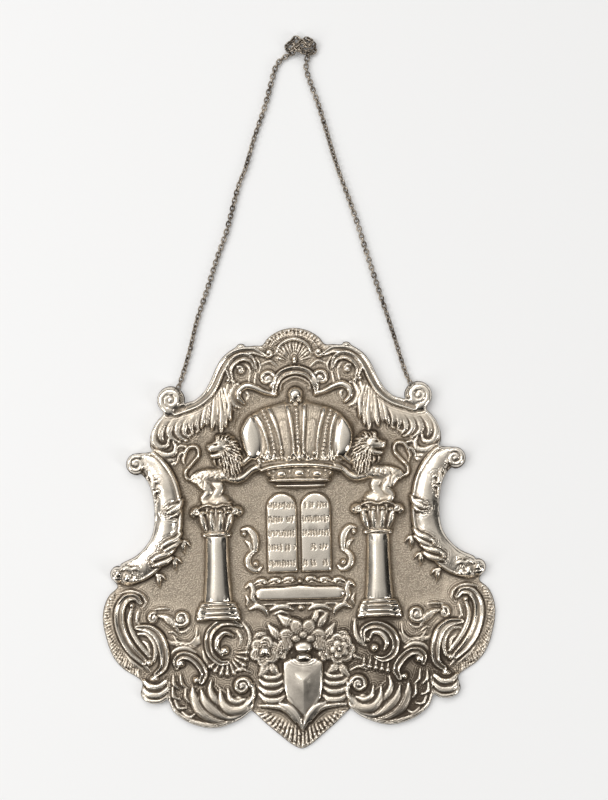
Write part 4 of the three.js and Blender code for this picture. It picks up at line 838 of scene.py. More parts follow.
def heart():
    """The polished heart with flat facets, on its plate, and the stacked shells beside it."""
    shells = [
        [(-33.6, -107.4, 1.2, 3.8), (-28.6, -110.6, 2.3, 5.6), (-21, -111, 2.3, 5.8), (-15, -108, 1.3, 4.4)],
        [(-34.2, -112.8, 1.2, 3.8), (-28.6, -116.6, 2.4, 5.6), (-21, -117, 2.4, 5.8),
         (-15, -113.6, 1.3, 4.4)],
        [(-34, -118.2, 1.2, 3.6), (-28.6, -122.6, 2.3, 5.2), (-20.6, -123.2, 2.3, 5.2),
         (-14.2, -119.8, 1.2, 3.8)],
        [(-32.8, -102.6, 1.0, 3.4), (-27.4, -105.4, 1.9, 4.8), (-21, -105.6, 1.9, 4.8),
         (-16.4, -102.6, 1.0, 3.8)],
    ]
    pair(shells, axis=MIDDLE + 1.2, polish=0.5, veins=1, groove=0.6)
    cx, cy, foot, top = MIDDLE + 1.0, -107.5, 5.0, 10.4
    half = [(0, -91.4), (-9, -91), (-15, -94.4), (-14.8, -112), (-12.6, -122.6), (-5.8, -128.6), (0, -135)]
    rim = np.array(moved(whole(half, closed=True), cx))
    plaque((rim - (cx, cy)) * 1.1 + (cx, cy), 3.4, 1.6, polish=0.6)
    where = patch(cx - 18, cx + 18, -138, -88)
    gx, gy = X[where], Y[where]
    # one flat facet from each side of this outline up to the middle
    corners = whole([(0, -90.6), (-16, -93), (-15, -114), (0, -136)], closed=True)
    new = np.full(gx.shape, ABOVE_ALL)
    for (x0, y0), (x1, y1) in zip(corners, corners[1:] + corners[:1]):
        ex, ey = x1 - x0, y1 - y0
        off = np.abs((gx - cx - x0) * ey - (gy - y0) * ex)
        deep = abs(-x0 * ey - (cy - y0) * ex)
        new = np.minimum(new, foot + (top - foot) * off / deep)
    raise_to(where, np.where(inside_of(rim, gx, gy), 0.5, 2.0), new, ABOVE_ALL, 1.0, 0.0, False)


def flower(x, y, r, petals, crest, turn=0.0):
    """Dished petals round a bud."""
    for i in range(petals):
        a = turn + 360 * i / petals
        px, py = x + 0.58 * r * math.cos(math.radians(a)), y + 0.58 * r * math.sin(math.radians(a))
        dome(px, py, 0.52 * r, 0.5 * r, crest + 0.3 * (i % 2), a, polish=0.5, groove=1.0, base=2)
        dome(px, py, 0.34 * r, 0.3 * r, -0.13 * r, a, add=True, polish=0.4)
    dome(x, y, 0.3 * r, 0.3 * r, crest + 0.8, polish=0.8, groove=0.9)


def bouquet():
    """Leaves, two large flowers, two small ones, a daisy of six petals and the vase's neck."""
    leaves = [
        [(-2, -62.6, 1.2, 3.4), (-9, -63, 3.4, 5.2), (-15.6, -58.6, 1, 3)],
        [(-14, -77, 1.2, 3.6), (-18.6, -71.6, 2.8, 5), (-23.6, -65.6, 0.8, 3)],
        [(8, -66, 1, 3.4), (12.4, -60, 2.2, 4.8), (13.4, -54.2, 0.8, 3)],
        [(14, -69, 1, 3.4), (17.6, -63, 2.4, 4.8), (21.8, -57.2, 0.8, 3)],
        [(18, -77.6, 1.2, 3.6), (22.4, -71.6, 2.6, 5), (26.8, -65.6, 0.8, 3)],
        [(-30.6, -103.4, 1.4, 3.6), (-27, -98.6, 3, 5), (-25.4, -94, 1, 3.4)],
        [(-17, -103, 1.2, 3.6), (-20.6, -98.6, 2.6, 5), (-22.4, -93.6, 1, 3.4)],
        [(22, -102, 1.2, 3.6), (26, -98.6, 2.8, 5), (27.4, -94, 1, 3.4)],
        [(36.6, -105, 1.2, 3.6), (32.6, -100, 2.6, 4.8), (30.6, -95, 1, 3.4)],
        [(-35, -76, 0.8, 3), (-31, -72.6, 1.8, 4.2), (-25.6, -71.8, 0.8, 3)],
        [(38, -76.6, 0.8, 3), (34, -73, 1.8, 4.2), (28.6, -72.4, 0.8, 3)],
    ]
    for knots in leaves:
        lay([(x, y, 1.35 * w, h + 0.4) for x, y, w, h in knots], polish=0.45, veins=1, vein=0.7, groove=0.9)
    for x, y, turn in (
        (-9.4, -73.4, 160), (-2, -67.4, 110), (7, -67.6, 70), (14, -74, 20), (-11, -80.6, 190),
        (16, -81, -15),
    ):
        dome(x, y, 6.6, 5.6, 6.4, turn, polish=0.5, groove=1.0, base=2)
        dome(x, y, 4.2, 3.4, -1.0, turn, add=True, polish=0.4)
    for x, y in ((-2.6, -76.2), (3, -73.4), (8.4, -76.4)):
        dome(x, y, 4, 3.6, 7.2, polish=0.45, groove=1.0)
        dome(x, y - 0.4, 2.2, 1.8, -0.6, add=True, polish=0.3)
    flower(-14.6, -86.4, 5.8, 5, 5.2, 10)
    flower(19.6, -88.6, 5.6, 5, 5, 30)
    flower(-26.6, -85.4, 11.4, 6, 6, 20)
    for dx, turn in ((-1.8, 70), (1.8, 110)):
        dome(-26.6 + dx, -85.6, 4.4, 2.8, 8.4, turn, polish=0.9, groove=0.9)
    flower(30.4, -84.6, 11.4, 7, 5.8)
    flower(30.4, -84.8, 7.2, 5, 7.6, 40)
    dome(2.8, -83.0, 7.4, 5.0, 8.4, polish=0.9, groove=1.0)
    dome(2.8, -81.6, 5.4, 3.0, -1.6, add=True, polish=0.9)
    dome(2.8, -90.4, 6.4, 3.6, 9, polish=0.95, groove=0.9)


def cartouche():
    """The plain plate in its frame of curls, and the scrolls beside the tablets."""
    half = [(-30.6, -46.8), (-33.6, -44.8), (-34.8, -41.4), (-33.4, -37.8), (-29, -36.4), (-12, -36.2),
            (0, -34.8)]
    plaque(moved(whole(half), MIDDLE), 6.0, 1.3)
    curls, knobs = [], []
    for x in (-29.6, -19, -8.4):
        y = -33.4 + 0.06 * (x + 29.6)
        curls.append([(x - 5.4, y - 0.4, 0.7, 4), (x - 2, y + 1.8, 1.8, 5.6), (x + 2.4, y + 1.8, 1.9, 5.8),
                      (x + 4.4, y - 0.4, 0.8, 4.8)])
        curls.append([(x - 4, y - 1.8, 0.5, 4), (x - 0.6, y - 0.9, 0.9, 4.6), (x + 2, y - 1.8, 0.4, 4.2)])
        knobs.append((x + 2.6, y - 0.2, 1.2, 1.1, 6.4, 0))
    lay([(MIDDLE - 30, -50, 0.9, 3.2), (MIDDLE, -49.6, 1.1, 3.6), (MIDDLE + 30, -50, 0.9, 3.2)], polish=0.7)
    pair([
        [(-41.6, -36.8, 1.1, 3.4), (-37.6, -34.2, 2.2, 5), (-35.8, -39, 2.2, 5.2), (-36.6, -44, 2.0, 5),
         (-33.4, -49.4, 1.3, 4)],
        *curls,
        [(-39, -53.4, 1.1, 3.4), (-32.6, -51, 2.3, 4.8), (-27.4, -53.8, 2.2, 4.6), (-25.4, -58.4, 1.0, 3.2)],
        [(-23, -54.4, 1.1, 3.6), (-17.4, -51.8, 2.2, 4.8), (-11.4, -51.8, 2.4, 5), (-6.4, -54, 1.3, 3.8)],
        [(-20, -57.4, 0.8, 3), (-15, -55.6, 1.4, 4), (-9.6, -57, 0.8, 3)],
        [(-41.6, -42.6, 0.8, 3), (-39.8, -47, 1.4, 3.8), (-41.4, -51, 0.8, 3)],
    ], axis=MIDDLE, polish=0.6, veins=1)
    domes(knobs, axis=MIDDLE, polish=0.9, base=4, groove=0.6)
    dome(MIDDLE + 0.6, -52.8, 3.2, 2.2, 5, polish=0.8)
    dome(MIDDLE, -32.2, 2.4, 2.0, 5.8, polish=0.8)
    pair([
        [(-43.6, 7.6, 1.2, 3.6), (-38.6, 8, 2.2, 4.8), (-34.4, 3, 3.0, 5.2), (-33.2, -4, 2.6, 5),
         (-34, -10, 1.3, 4)],
        [(-41, -1, 0.9, 3.4), (-38, -3.6, 1.7, 4.2), (-36.6, -8.4, 0.9, 3.6)],
        [(-32.6, -8.6, 1.4, 4), (-37.4, -11.4, 2.2, 5), (-39.6, -16.6, 2.6, 5.4), (-37.6, -21.8, 2.4, 5.2),
         (-32.6, -24.2, 1.8, 4.6), (-29, -21, 1.1, 4)],
    ], axis=MIDDLE, polish=0.6, veins=1, groove=0.7)
    domes([(-42, 4.4, 2.4, 2.4, 5.4, 0), (-33.4, -18.4, 2.5, 2.5, 5.6, 0)], axis=MIDDLE, polish=0.85,
          groove=0.8)


# Tablets: width of each, gap between them, heights of top and foot, and how far they rise
TABLET_WIDE = 23.8
TABLET_GAP = 2.0
TABLET_TOP = 35.4
TABLET_FOOT = -26
TABLET_CREST = 5.2
INSCRIPTION_ROWS = (25.4, 14.8, 4.2, -6.6, -18.6)


def tablets():
    """Round headed tablets with rows of shallow upright strokes in place of the writing."""
    r = TABLET_WIDE / 2
    rng = np.random.default_rng(3)
    for side in (-1, 1):
        cx = MIDDLE + side * (TABLET_GAP / 2 + r)
        head = arc(cx, TABLET_TOP - r, r, 0, 180, 24)
        plaque([(cx + r, TABLET_FOOT), *head, (cx - r, TABLET_FOOT)], TABLET_CREST, 1.3, polish=0.92)
    inner, outer = TABLET_GAP / 2, TABLET_WIDE
    for y in INSCRIPTION_ROWS:
        for start, stop in ((1.2 - outer, -1.4 - inner), (2.6 + inner, outer - 1.0)):
            x = MIDDLE + start
            while x < MIDDLE + stop:
                tall, lean = rng.uniform(1.3, 2.1), rng.uniform(-0.5, 0.5)
                if rng.random() < 0.82:
                    stroke = [(x - lean, y - tall, 0.55, -0.6), (x + lean, y + tall, 0.55, -0.6)]
                    lay(stroke, add=True, polish=0.1)
                x += rng.uniform(1.7, 2.4)


# Middle line of the left column
COLUMN_X = -61.5

# A ring round a column: share of its half width, drop and share of its height
RING = ((-1, 1.0, 0.5), (-0.6, 0.2, 0.86), (0, 0, 1), (0.6, 0.2, 0.86), (1, 1.0, 0.5))


def columns():
    """Polished columns with ringed feet and leafy capitals."""

    def stand(rows, **how):
        pair([[(COLUMN_X + x, *rest) for x, *rest in row] for row in rows], **how)

    def ring(y, half, wide, high):
        return [(half * x, y - drop, wide, share * high) for x, drop, share in RING]

    stand([[(0, 6, 8.8, 10), (0, -22, 9.4, 10.6), (0, -48, 11.2, 11)]], polish=0.95, groove=0.8)
    foot = ((-48.4, 12, 1.6, 12), (-51.4, 13.4, 1.8, 12.4), (-54.8, 14.2, 2.2, 12.8), (-58.2, 15, 1.9, 12.2))
    stand([ring(*row) for row in foot], polish=0.9, base=6, groove=0.8)
    stand([ring(5, 9.4, 1.5, 11.6)], polish=0.9, base=6, groove=0.6)
    stand([[(0, 7, 8.2, 9.6), (0, 16, 9.4, 10.4), (0, 24.6, 12.4, 9)]], polish=0.5)
    # front leaves, the tips between them, the wavy top and the curls at its corners
    leaves = []
    leaf = ((-0.2, 8, 1.5, 10.4), (0.4, 13.6, 2.6, 12.4), (1, 19.6, 2.2, 12.8), (1.3, 22, 1.2, 11))
    for x, tilt in ((-8.6, -2.6), (-3, -0.8), (3, 0.8), (8.6, 2.6)):
        leaves.append([(x + lean * tilt, y, wide, high) for lean, y, wide, high in leaf])
    stand(leaves, polish=0.6, veins=1, base=7, groove=0.7)
    tips = []
    for x in (-5.8, 0, 5.8):
        tips.append([(x, 16, 1.2, 10.6), (1.16 * x, 21, 1.7, 11.6), (1.2 * x, 24.6, 1.0, 10.4)])
    stand(tips, form="ridge", polish=0.5, base=7, groove=0.5)
    stand([
        whole([(-12.6, 25, 0.9, 8.6), (-6.4, 27.2, 1.2, 10.8), (0, 25.6, 1.2, 11.2)]),
        [(-9.6, 20, 1.4, 9), (-15.6, 23.4, 1.9, 9.8), (-18.6, 20.6, 1.7, 8.6), (-16.4, 18, 1.0, 7.4)],
        [(9.6, 20.6, 1.4, 9), (15.6, 24, 1.9, 9.8), (18.8, 21.4, 1.7, 8.6), (16.6, 18.6, 1.0, 7.4)],
    ], polish=0.7, base=3, groove=0.6)
    rolls = [(COLUMN_X + x, 22.4 - 0.012 * x * x, 2.5, 1.8, 13.6, 0) for x in (-9.4, -3.3, 3.3, 9.4)]
    domes(rolls, polish=0.8, base=9, groove=0.8)
    for x, first, turns in ((-14.6, 60, 1.2), (14.6, 120, -1.2)):
        volutes([(COLUMN_X + x, 21.8, 3.9, first, turns, 1.2, 10.8)], polish=0.8, base=6)
    # the strip under each foot
    stand([whole([(-16, -61, 1.1, 4), (0, -61.6, 1.3, 5)])], polish=0.6)


# Middle of the left lion's head, from the lions' middle line
LION_HEAD = (-58.0, 71.8)

# How far the mane's locks reach from the middle of the head, by direction
MANE_REACH = ((-78, -64, -48, -32, 0, 20, 45, 90, 120), (23, 28, 25, 20.5, 16.4, 14, 11.4, 9.6, 8.6))

# A lock of hair: share of its curl, distance from its ring, half width and lift
LOCK = ((0.0, -4.4, 0.8, -0.6), (0.3, -2.4, 1.3, 0.4), (0.9, -0.6, 1.2, 0.3), (2.1, 0.6, 0.4, -1.2))


def lions():
    """Two lions standing on the column heads with their forepaws on the crown."""

    def both(rows, **how):
        pair(rows, axis=LION_AXIS, **how)

    # tail and its tuft, then body, haunch and legs with fur on the flank
    both([
        [(-77, 46.6, 1.5, 6), (-83.6, 47.4, 1.5, 6), (-84.8, 53, 1.5, 6.2), (-79.6, 59, 1.5, 6.2),
         (-74.6, 65.4, 1.5, 6.2), (-76, 71.2, 1.5, 6), (-81.6, 71.4, 1.6, 6), (-85, 67, 1.6, 5.6)],
    ], polish=0.8, groove=0.6)
    both([
        [(-83.4, 69, 1.2, 5), (-88.8, 66, 2.0, 5.6), (-91, 60, 0.7, 3.6)],
        [(-84, 67, 1.2, 5), (-86.6, 62, 1.9, 5.6), (-85.2, 56.6, 0.7, 3.6)],
        [(-82.6, 71.4, 1.2, 5), (-88.6, 72.4, 1.8, 5.2), (-93, 68.6, 0.6, 3.4)],
    ], form="ridge", polish=0.6, veins=1)
    both([
        [(-63.6, 47, 3.4, 8), (-59, 39.6, 3.2, 8), (-63.2, 33, 2.4, 7.4), (-58.6, 28.4, 2.6, 7.8),
         (-53.8, 26.8, 2.8, 7.6)],
        [(-73.6, 47, 4.6, 9.4), (-70, 41.4, 4.4, 9.6), (-67.6, 37.4, 3.2, 9), (-71.8, 31.8, 2.4, 8.4),
         (-68.6, 28, 2.6, 8.8), (-62.8, 26.8, 2.8, 8.6)],
        [(-77, 47.4, 3.8, 7.4), (-71.6, 49, 5, 9.2), (-64.6, 49.8, 5, 9.8), (-56.6, 49.8, 5.2, 10.2),
         (-49, 51.4, 5.6, 10.4)],
        [(-51.6, 47.8, 3.4, 9.8), (-45.4, 46.4, 3.0, 9.8), (-40.3, 48.2, 2.6, 9.6), (-34.6, 53, 2.3, 9.6),
         (-29.8, 55.2, 2.6, 10.2)],
        [(-43, 57.6, 2.6, 9.6), (-38.6, 60.6, 2.3, 9.8), (-34.4, 63.8, 2.3, 10.6)],
    ], polish=0.6, groove=0.7, base=5.5)
    rng = np.random.default_rng(31)
    fur = []
    for _ in range(60):
        x, y = rng.uniform(-80, -57), rng.uniform(45, 54)
        fur.append([(x, y, 0.5, -0.35), (x - 1.6, y - rng.uniform(0.6, 2.2), 0.3, -0.6)])
    both(fur, add=True, polish=0.5)
    # ribs and haunch
    both([
        [(-67.6, 53, 0.5, -0.5), (-66.2, 49.4, 0.5, -0.6), (-67, 46.4, 0.4, -0.4)],
        [(-63.8, 53.4, 0.5, -0.5), (-62.4, 49.6, 0.5, -0.6), (-63.4, 46.4, 0.4, -0.4)],
        [(-60, 53.4, 0.5, -0.5), (-58.6, 49.6, 0.5, -0.6), (-59.6, 46.4, 0.4, -0.4)],
        [(-76.4, 49.6, 0.6, -0.4), (-71.4, 45.4, 0.6, -0.7), (-71.2, 39.4, 0.5, -0.4)],
    ], add=True, polish=0.3)
    # toes of the four paws
    for x, y in ((-62.8, 26.6), (-53.6, 26.8), (-30.4, 56), (-33.2, 66.2)):
        for i in range(3):
            toe = (x + 0.6 * i + 1.2, y + 2.0 * (i - 1), 1.9, 1.1, 9.4 if x < -50 else 10.6, 0)
            domes([toe], axis=LION_AXIS, polish=0.8, groove=0.5)
    # the mass of the mane, its locks in rings from the outside in, and the beard on the chest
    both([
        [(-58.4, 77.4, 2.0, 9), (-52.2, 76.8, 3.8, 10.4), (-47.6, 71, 4.8, 11), (-46.4, 63, 5.8, 11.2),
         (-47.6, 55, 5.2, 11), (-47.4, 49, 3.0, 10)],
    ], polish=0.5, groove=0.6)
    hx, hy = LION_HEAD
    rng = np.random.default_rng(5)
    locks = []
    for ring, far in enumerate((27.4, 24.6, 21.8, 19, 16.2, 13.4, 10.6, 8.2)):
        step = math.degrees(2.5 / far)
        for turn in np.arange(-78, 124, step):
            turn += rng.uniform(-0.2, 0.2) * step
            if far > np.interp(turn, *MANE_REACH):
                continue
            a, high = math.radians(turn), 12.0 + 0.16 * ring + rng.uniform(-0.3, 0.3)
            curl = rng.uniform(0.6, 1.3) / far
            lock = []
            for t, out, wide, lift in LOCK:
                u, r = a - t * curl, far + out
                lock.append((hx + r * math.cos(u), hy + r * math.sin(u), wide, high + lift))
            locks.append(lock)
    both(locks, form="ridge", polish=0.65, groove=0.8, base=6)
    both([
        [(-62.4, 62.2, 1.0, 8.4), (-62.8, 59.4, 1.6, 8.8), (-61, 56.2, 0.6, 7.4)],
        [(-58.4, 63, 1.2, 9.6), (-58.6, 59, 1.7, 9.8), (-56.6, 55.4, 0.7, 8.6)],
    ], form="ridge", polish=0.65, base=4, groove=0.8)
    # head in profile: ear, skull, muzzle and jaw, nose, and then brow, eye and lip
    domes([(hx + 4.8, hy + 4.6, 1.7, 2.3, 13.6, 24)], axis=LION_AXIS, polish=0.8, base=8, groove=0.9)
    domes([(hx, hy + 0.6, 5.6, 5.2, 13.4, 0)], axis=LION_AXIS, polish=0.6, base=9, groove=0.9)
    both([
        [(hx - 1, hy - 0.4, 3.4, 13), (hx - 4.6, hy - 0.8, 3.0, 12.8), (hx - 7.2, hy - 1.4, 2.7, 12.4)],
        [(hx + 1.4, hy - 5.4, 2.4, 12), (hx - 2.6, hy - 7.2, 2.0, 11.8), (hx - 6.4, hy - 7.2, 1.7, 11.2)],
    ], polish=0.55, base=9, groove=1.0)
    domes([(hx - 8.8, hy + 0.2, 1.7, 1.5, 13, 0)], axis=LION_AXIS, polish=0.9, base=10, groove=0.5)
    both([
        [(hx - 5.4, hy + 2.2, 0.8, 0.8), (hx - 2.8, hy + 3.6, 1.0, 1.2), (hx + 0.6, hy + 3.2, 0.7, 0.6)],
        [(hx - 4.0, hy + 1.2, 0.9, -1.4), (hx - 2.4, hy + 1.5, 0.9, -1.3)],
        [(hx - 8, hy - 3.9, 0.5, 0.9), (hx - 4, hy - 3.6, 0.6, 1.0), (hx + 1, hy - 3.8, 0.5, 0.7)],
    ], add=True, polish=0.5)


def level(x, y):
    """Height of the field at a point."""
    return height[int(round((y + HALF_Y) / STEP)), int(round((x + HALF_X) / STEP))]


def fleuron(x, y, tall, wide):
    """A standing leaf between two side leaflets."""
    base = level(x, y + 0.4 * tall)
    how = {"form": "ridge", "base": base - 0.6, "groove": 1.0}
    for out in (-wide, wide):
        lay([(x + 0.2 * out, y, 0.8, base + 1.0), (x + 0.7 * out, y + 0.42 * tall, 1.4, base + 2.0),
             (x + out, y + 0.3 * tall, 0.8, base + 1.2)], polish=0.75, **how)
    lay([(x, y - 0.5, 1.2, base + 1.4), (x, y + 0.5 * tall, 1.9, base + 2.8), (x, y + tall, 0.5, base + 1.4)],
        polish=0.8, **how)


def hatch(a, b, count, depth=0.45):
    """Fine chased lines running between two curves."""
    a, b = (np.array([(*p, 0.45, -depth) for p in line]) for line in (a, b))
    for i in range(1, count):
        lay(a + (b - a) * (i / count), add=True, polish=0.3)


def bulb(points, low, high, bevel):
    """A polished bulb inside an outline."""
    rim = spline(points, 0.8, closed=True)
    where = patch(rim[:, 0].min(), rim[:, 0].max(), rim[:, 1].min(), rim[:, 1].max())
    gx, gy = X[where], Y[where]
    d = np.where(inside_of(rim, gx, gy), 1, -1) * edge_distance(rim, gx, gy)
    height[where] = np.where(d > 0, low + (high - low) * dip(1 - np.clip(d / bevel, 0, 1)), height[where])
    shine[where] = np.where(d > 0, 1.0, shine[where])
    ground[where] = np.where(d > 0, 0.0, ground[where])


def crown():
    """A closed crown with a swelling cap between rails, over a jewelled band."""
    foot = [(-18.7, 42.4), (-8.8, 41.6), (3.1, 41.3), (15, 41.3), (23.6, 41.8)]
    brow = [(33.6, 53.6), (19.3, 56.6), (1.4, 57.6), (-16.5, 56.2), (-26.4, 53.8)]
    plaque(foot + brow, 9.6, 3.6, polish=0.5)
    # y, half width and crest of the swelling cap
    profile = np.array([(55, 30, 9), (60, 35, 11), (68, 40.5, 12.6), (78, 43, 13.2), (87, 40.5, 13),
                        (95, 34, 11.8), (100, 25, 9.6), (104, 10, 6)])
    where = patch(CROWN_X - 46, CROWN_X + 46, profile[0, 0], profile[-1, 0])
    gx, gy = X[where], Y[where]
    half = np.interp(gy, profile[:, 0], profile[:, 1])
    crest = np.interp(gy, profile[:, 0], profile[:, 2])
    s = np.abs(gx - CROWN_X) / half
    raise_to(where, s, SHEET + (crest - SHEET) * dip(s) ** 0.5, ABOVE_ALL, 0.3, 0.6, False)
    ground[where] = np.where(s < 0.98, 0.4, ground[where])
    bulb([(-33.5, 94.9), (-39.6, 87.9), (-41.6, 80), (-39.4, 69), (-35.2, 62), (-29.8, 60.9), (-25.9, 65.7),
          (-24.9, 74.7), (-27.4, 85.6)], 8.6, 12.8, 7.6)
    bulb([(36, 92.4), (41.8, 85), (44, 76.2), (41.4, 66.3), (36.3, 62), (30.6, 63.6), (28.8, 70.6),
          (29.6, 79.5), (32.4, 88)],
         8.6, 12.8, 7.0)
    rails = [
        [(-31, 95.6), (-25, 86), (-21.2, 73), (-20.2, 61)],
        [(-19.8, 99.4), (-14.6, 87), (-11.4, 74), (-10.4, 61)],
        [(-6, 101.6), (-3.2, 89), (-1.8, 76), (-1.4, 61)],
        [(7.4, 101.6), (7, 89), (6.2, 76), (5.4, 61)],
        [(22.4, 98.6), (19.2, 87), (16.8, 74), (16, 61)],
        [(31.8, 95.6), (28.4, 86), (26.4, 74), (25.6, 61)],
    ]
    # pleated lining between the strings of beads
    lay([(-9, 88, 3.4, 0.9), (-6.8, 74, 3.2, 0.9), (-6, 61, 3, 0.9)], form="flat", add=True, polish=0.5)
    lay([(13, 88, 3.6, 0.9), (11.6, 74, 3.4, 0.9), (10.8, 61, 3.2, 0.9)], form="flat", add=True, polish=0.5)
    for a, b in ((rails[1], rails[2]), (rails[3], rails[4])):
        hatch(a, b, 8)
    for string in (
        [(-25, 98.8), (-19, 84), (-15.6, 64)], [(1, 101.6), (1.8, 82), (2, 64)],
        [(27.6, 98), (23.6, 84), (20.8, 64)],
    ):
        lay([(x, y, 2.8, -1.2) for x, y in string], form="flat", add=True, polish=0.12)
        for x, y in even(spline(string, 0.3), 3.1)[0]:
            dome(x, y, 1.7, 1.6, 2.2, polish=0.6, add=True)
    for rail in rails:
        lay([(x, y, 1.15 + 0.018 * (y - 61), 1.4) for x, y in rail], form="flat", add=True, polish=0.8)
    wave = [(-24.8, 59.2), (-16.3, 61), (-9.9, 62), (-4.4, 59.8), (2.6, 62), (9.5, 59.8), (14, 61),
            (21.4, 59.3), (30.4, 59.6)]
    lay([(x, y, 0.9, 1.1) for x, y in wave], add=True, polish=0.8)
    for x, y, tall, wide in (
        (2.5, 61, 10.5, 5.4), (-22.2, 60.4, 8.4, 4.2), (28, 59.6, 8.4, 4.2), (-16.4, 60.6, 5, 2.6),
        (21.4, 60, 5, 2.6),
    ):
        fleuron(x, y, tall, wide)
    for x, y in ((-10.8, 66.2), (14.1, 65.4), (-28, 60.2), (34.8, 60), (-5, 62.6), (9.4, 62.4)):
        top = level(x, y)
        dome(x, y, 1.9, 1.9, top + 2.2, polish=0.95, base=top - 0.4, groove=0.9)
    lay([(-26.4, 52.8, 1.3, 11.4), (-16.5, 55.3, 1.8, 12.2), (1.4, 56.6, 1.9, 12.6), (19.3, 55.6, 1.8, 12.2),
         (33.6, 52.6, 1.3, 11.4)],
        polish=0.95, base=8, groove=0.8)
    lay([(-21.6, 49.6, 3.0, -1.2), (-11, 49.9, 3.3, -1.2), (2.4, 50.4, 3.5, -1.2), (16, 49.7, 3.3, -1.2),
         (27.4, 49.4, 3.0, -1.2)],
        form="flat", add=True, polish=0.12)
    for x, y, rx, ry in (
        (-11.1, 49.9, 4.3, 2.7), (2.4, 50.4, 4.6, 3.0), (16, 49.7, 4.3, 2.7), (-21, 49.6, 2.2, 2.2),
        (26.6, 49.5, 2.2, 2.2),
    ):
        dome(x, y, rx, ry, 2.9, polish=1.0, add=True)
    for x in (-17.2, -4.6, 9.4, 22.4):
        for y in (48.4, 51.4):
            dome(x, y, 1.0, 1.0, 1.5, polish=0.9, add=True)
    lay([(-20.4, 44.9, 1.0, 10.6), (-6.7, 45.1, 1.3, 11.2), (3.2, 45.3, 1.4, 11.4), (13.1, 45, 1.3, 11.2),
         (25.4, 44.6, 1.0, 10.6)],
        polish=0.95, base=7, groove=0.8)
    lay([(-15.4, 40.6, 1.1, 7), (3.1, 40.2, 1.4, 7.8), (21.6, 40.4, 1.1, 7)], polish=0.9, base=3, groove=0.8)
    dome(0.6, 109.9, 5.9, 5.7, 11.4, polish=1.0, base=5.4, groove=0.8)
    for x, y in ((-2.4, 105.4), (3.8, 105.4), (0.8, 102.4)):
        dome(x, y, 2.4, 2.2, 11.6, polish=1.0, base=7, groove=0.9)


def brim_lumps():
    """Small chased lumps in a row along the brim."""
    rng = np.random.default_rng(11)
    for i in range(26):
        u = i / 25
        a = math.radians(158 - 136 * u)
        x, y = 18.6 * math.cos(a), 142 + 13.4 * math.sin(a)
        dome(x, y, rng.uniform(1.0, 1.7), rng.uniform(0.8, 1.3), rng.uniform(2.4, 3.4), math.degrees(a),
             polish=0.5)


for work in (
    fringes, brim_lumps, top_shell, acanthus, shoulders, side_scrolls, lower_lobes, column_scrolls, tail,
    heart, bouquet, cartouche, tablets, crescents, columns, crown, lions,
):
    work()


# From the field to a hollow sheet


def settle():
    """Blends the forms into the sheet, and gives the heights of its face and of its hollow back."""
    outline = spline(whole(OUTLINE, closed=True), 0.5, closed=True)
    mask = inside_of(outline, X, Y)
    # soft feet where the low ground meets a form, and a slow unevenness all over
    lift = height - SHEET
    low = np.clip(1 - lift / 7, 0, 1)
    front = height + low * (0.4 * blur(np.minimum(lift, 5), 2.2) + 0.2 * blur(np.minimum(lift, 9), 5.0))
    uneven = 0.1 * np.sin(X / 7.1 + 1.3 * np.sin(Y / 11.3)) * np.sin(Y / 8.3 + np.sin(X / 13.1))
    front = blur(front, 0.27) + uneven
    # down to the rim at the edge, and the hollow under it all
    within = smooth((blur(mask.astype(float), 0.9) - 0.5) / 0.46)
    front = EDGE + (np.maximum(front, EDGE) - EDGE) * within
    sunk = smooth((blur(mask.astype(float), 1.6) - 0.72) / 0.28)
    back = np.clip(blur(front, 2.0) - THICKNESS, 0, None) * sunk
    # room for the loop and the chain's end behind each top volute
    x, y, r = TOP_VOLUTE
    for side in (1, -1):
        disc = np.hypot(X - side * x, Y - y)
        u = math.radians(90 - side * WAY_TURN)
        dx, dy = X - side * LOOP[0], Y - LOOP[1]
        along, across = dx * math.cos(u) + dy * math.sin(u), dy * math.cos(u) - dx * math.sin(u)
        way = (along > -3) & (along < 14) & (np.abs(across) < WAY_WIDE / 2) & mask
        front = np.where((disc < r - 0.6) | way, np.maximum(front, WAY_ROOF + 0.4), front)
        back = np.where((disc < r - 1.7) | way, np.maximum(back, WAY_ROOF - 0.9), back)
    return outline, mask, np.maximum(front, back + 0.5), back


outline, mask, front, back = settle()


def normals_of(field, sign):
    """Unit normals of a field of heights."""
    gy, gx = np.gradient(field, STEP)
    n = np.stack([-gx, -gy, np.ones(field.shape)], -1) * sign
    return n / np.linalg.norm(n, axis=-1)[..., None]


def sample(field, x, y):
    """Values of a grid at any points, by the four nearest."""
    u = np.clip((x + HALF_X) / STEP, 0, NX - 1.001)
    v = np.clip((y + HALF_Y) / STEP, 0, NY - 1.001)
    i, j = u.astype(int), v.astype(int)
    fu, fv = u - i, v - j
    if field.ndim == 3:
        fu, fv = fu[:, None], fv[:, None]
    low = field[j, i] * (1 - fu) + field[j, i + 1] * fu
    high = field[j + 1, i] * (1 - fu) + field[j + 1, i + 1] * fu
    return low * (1 - fv) + high * fv


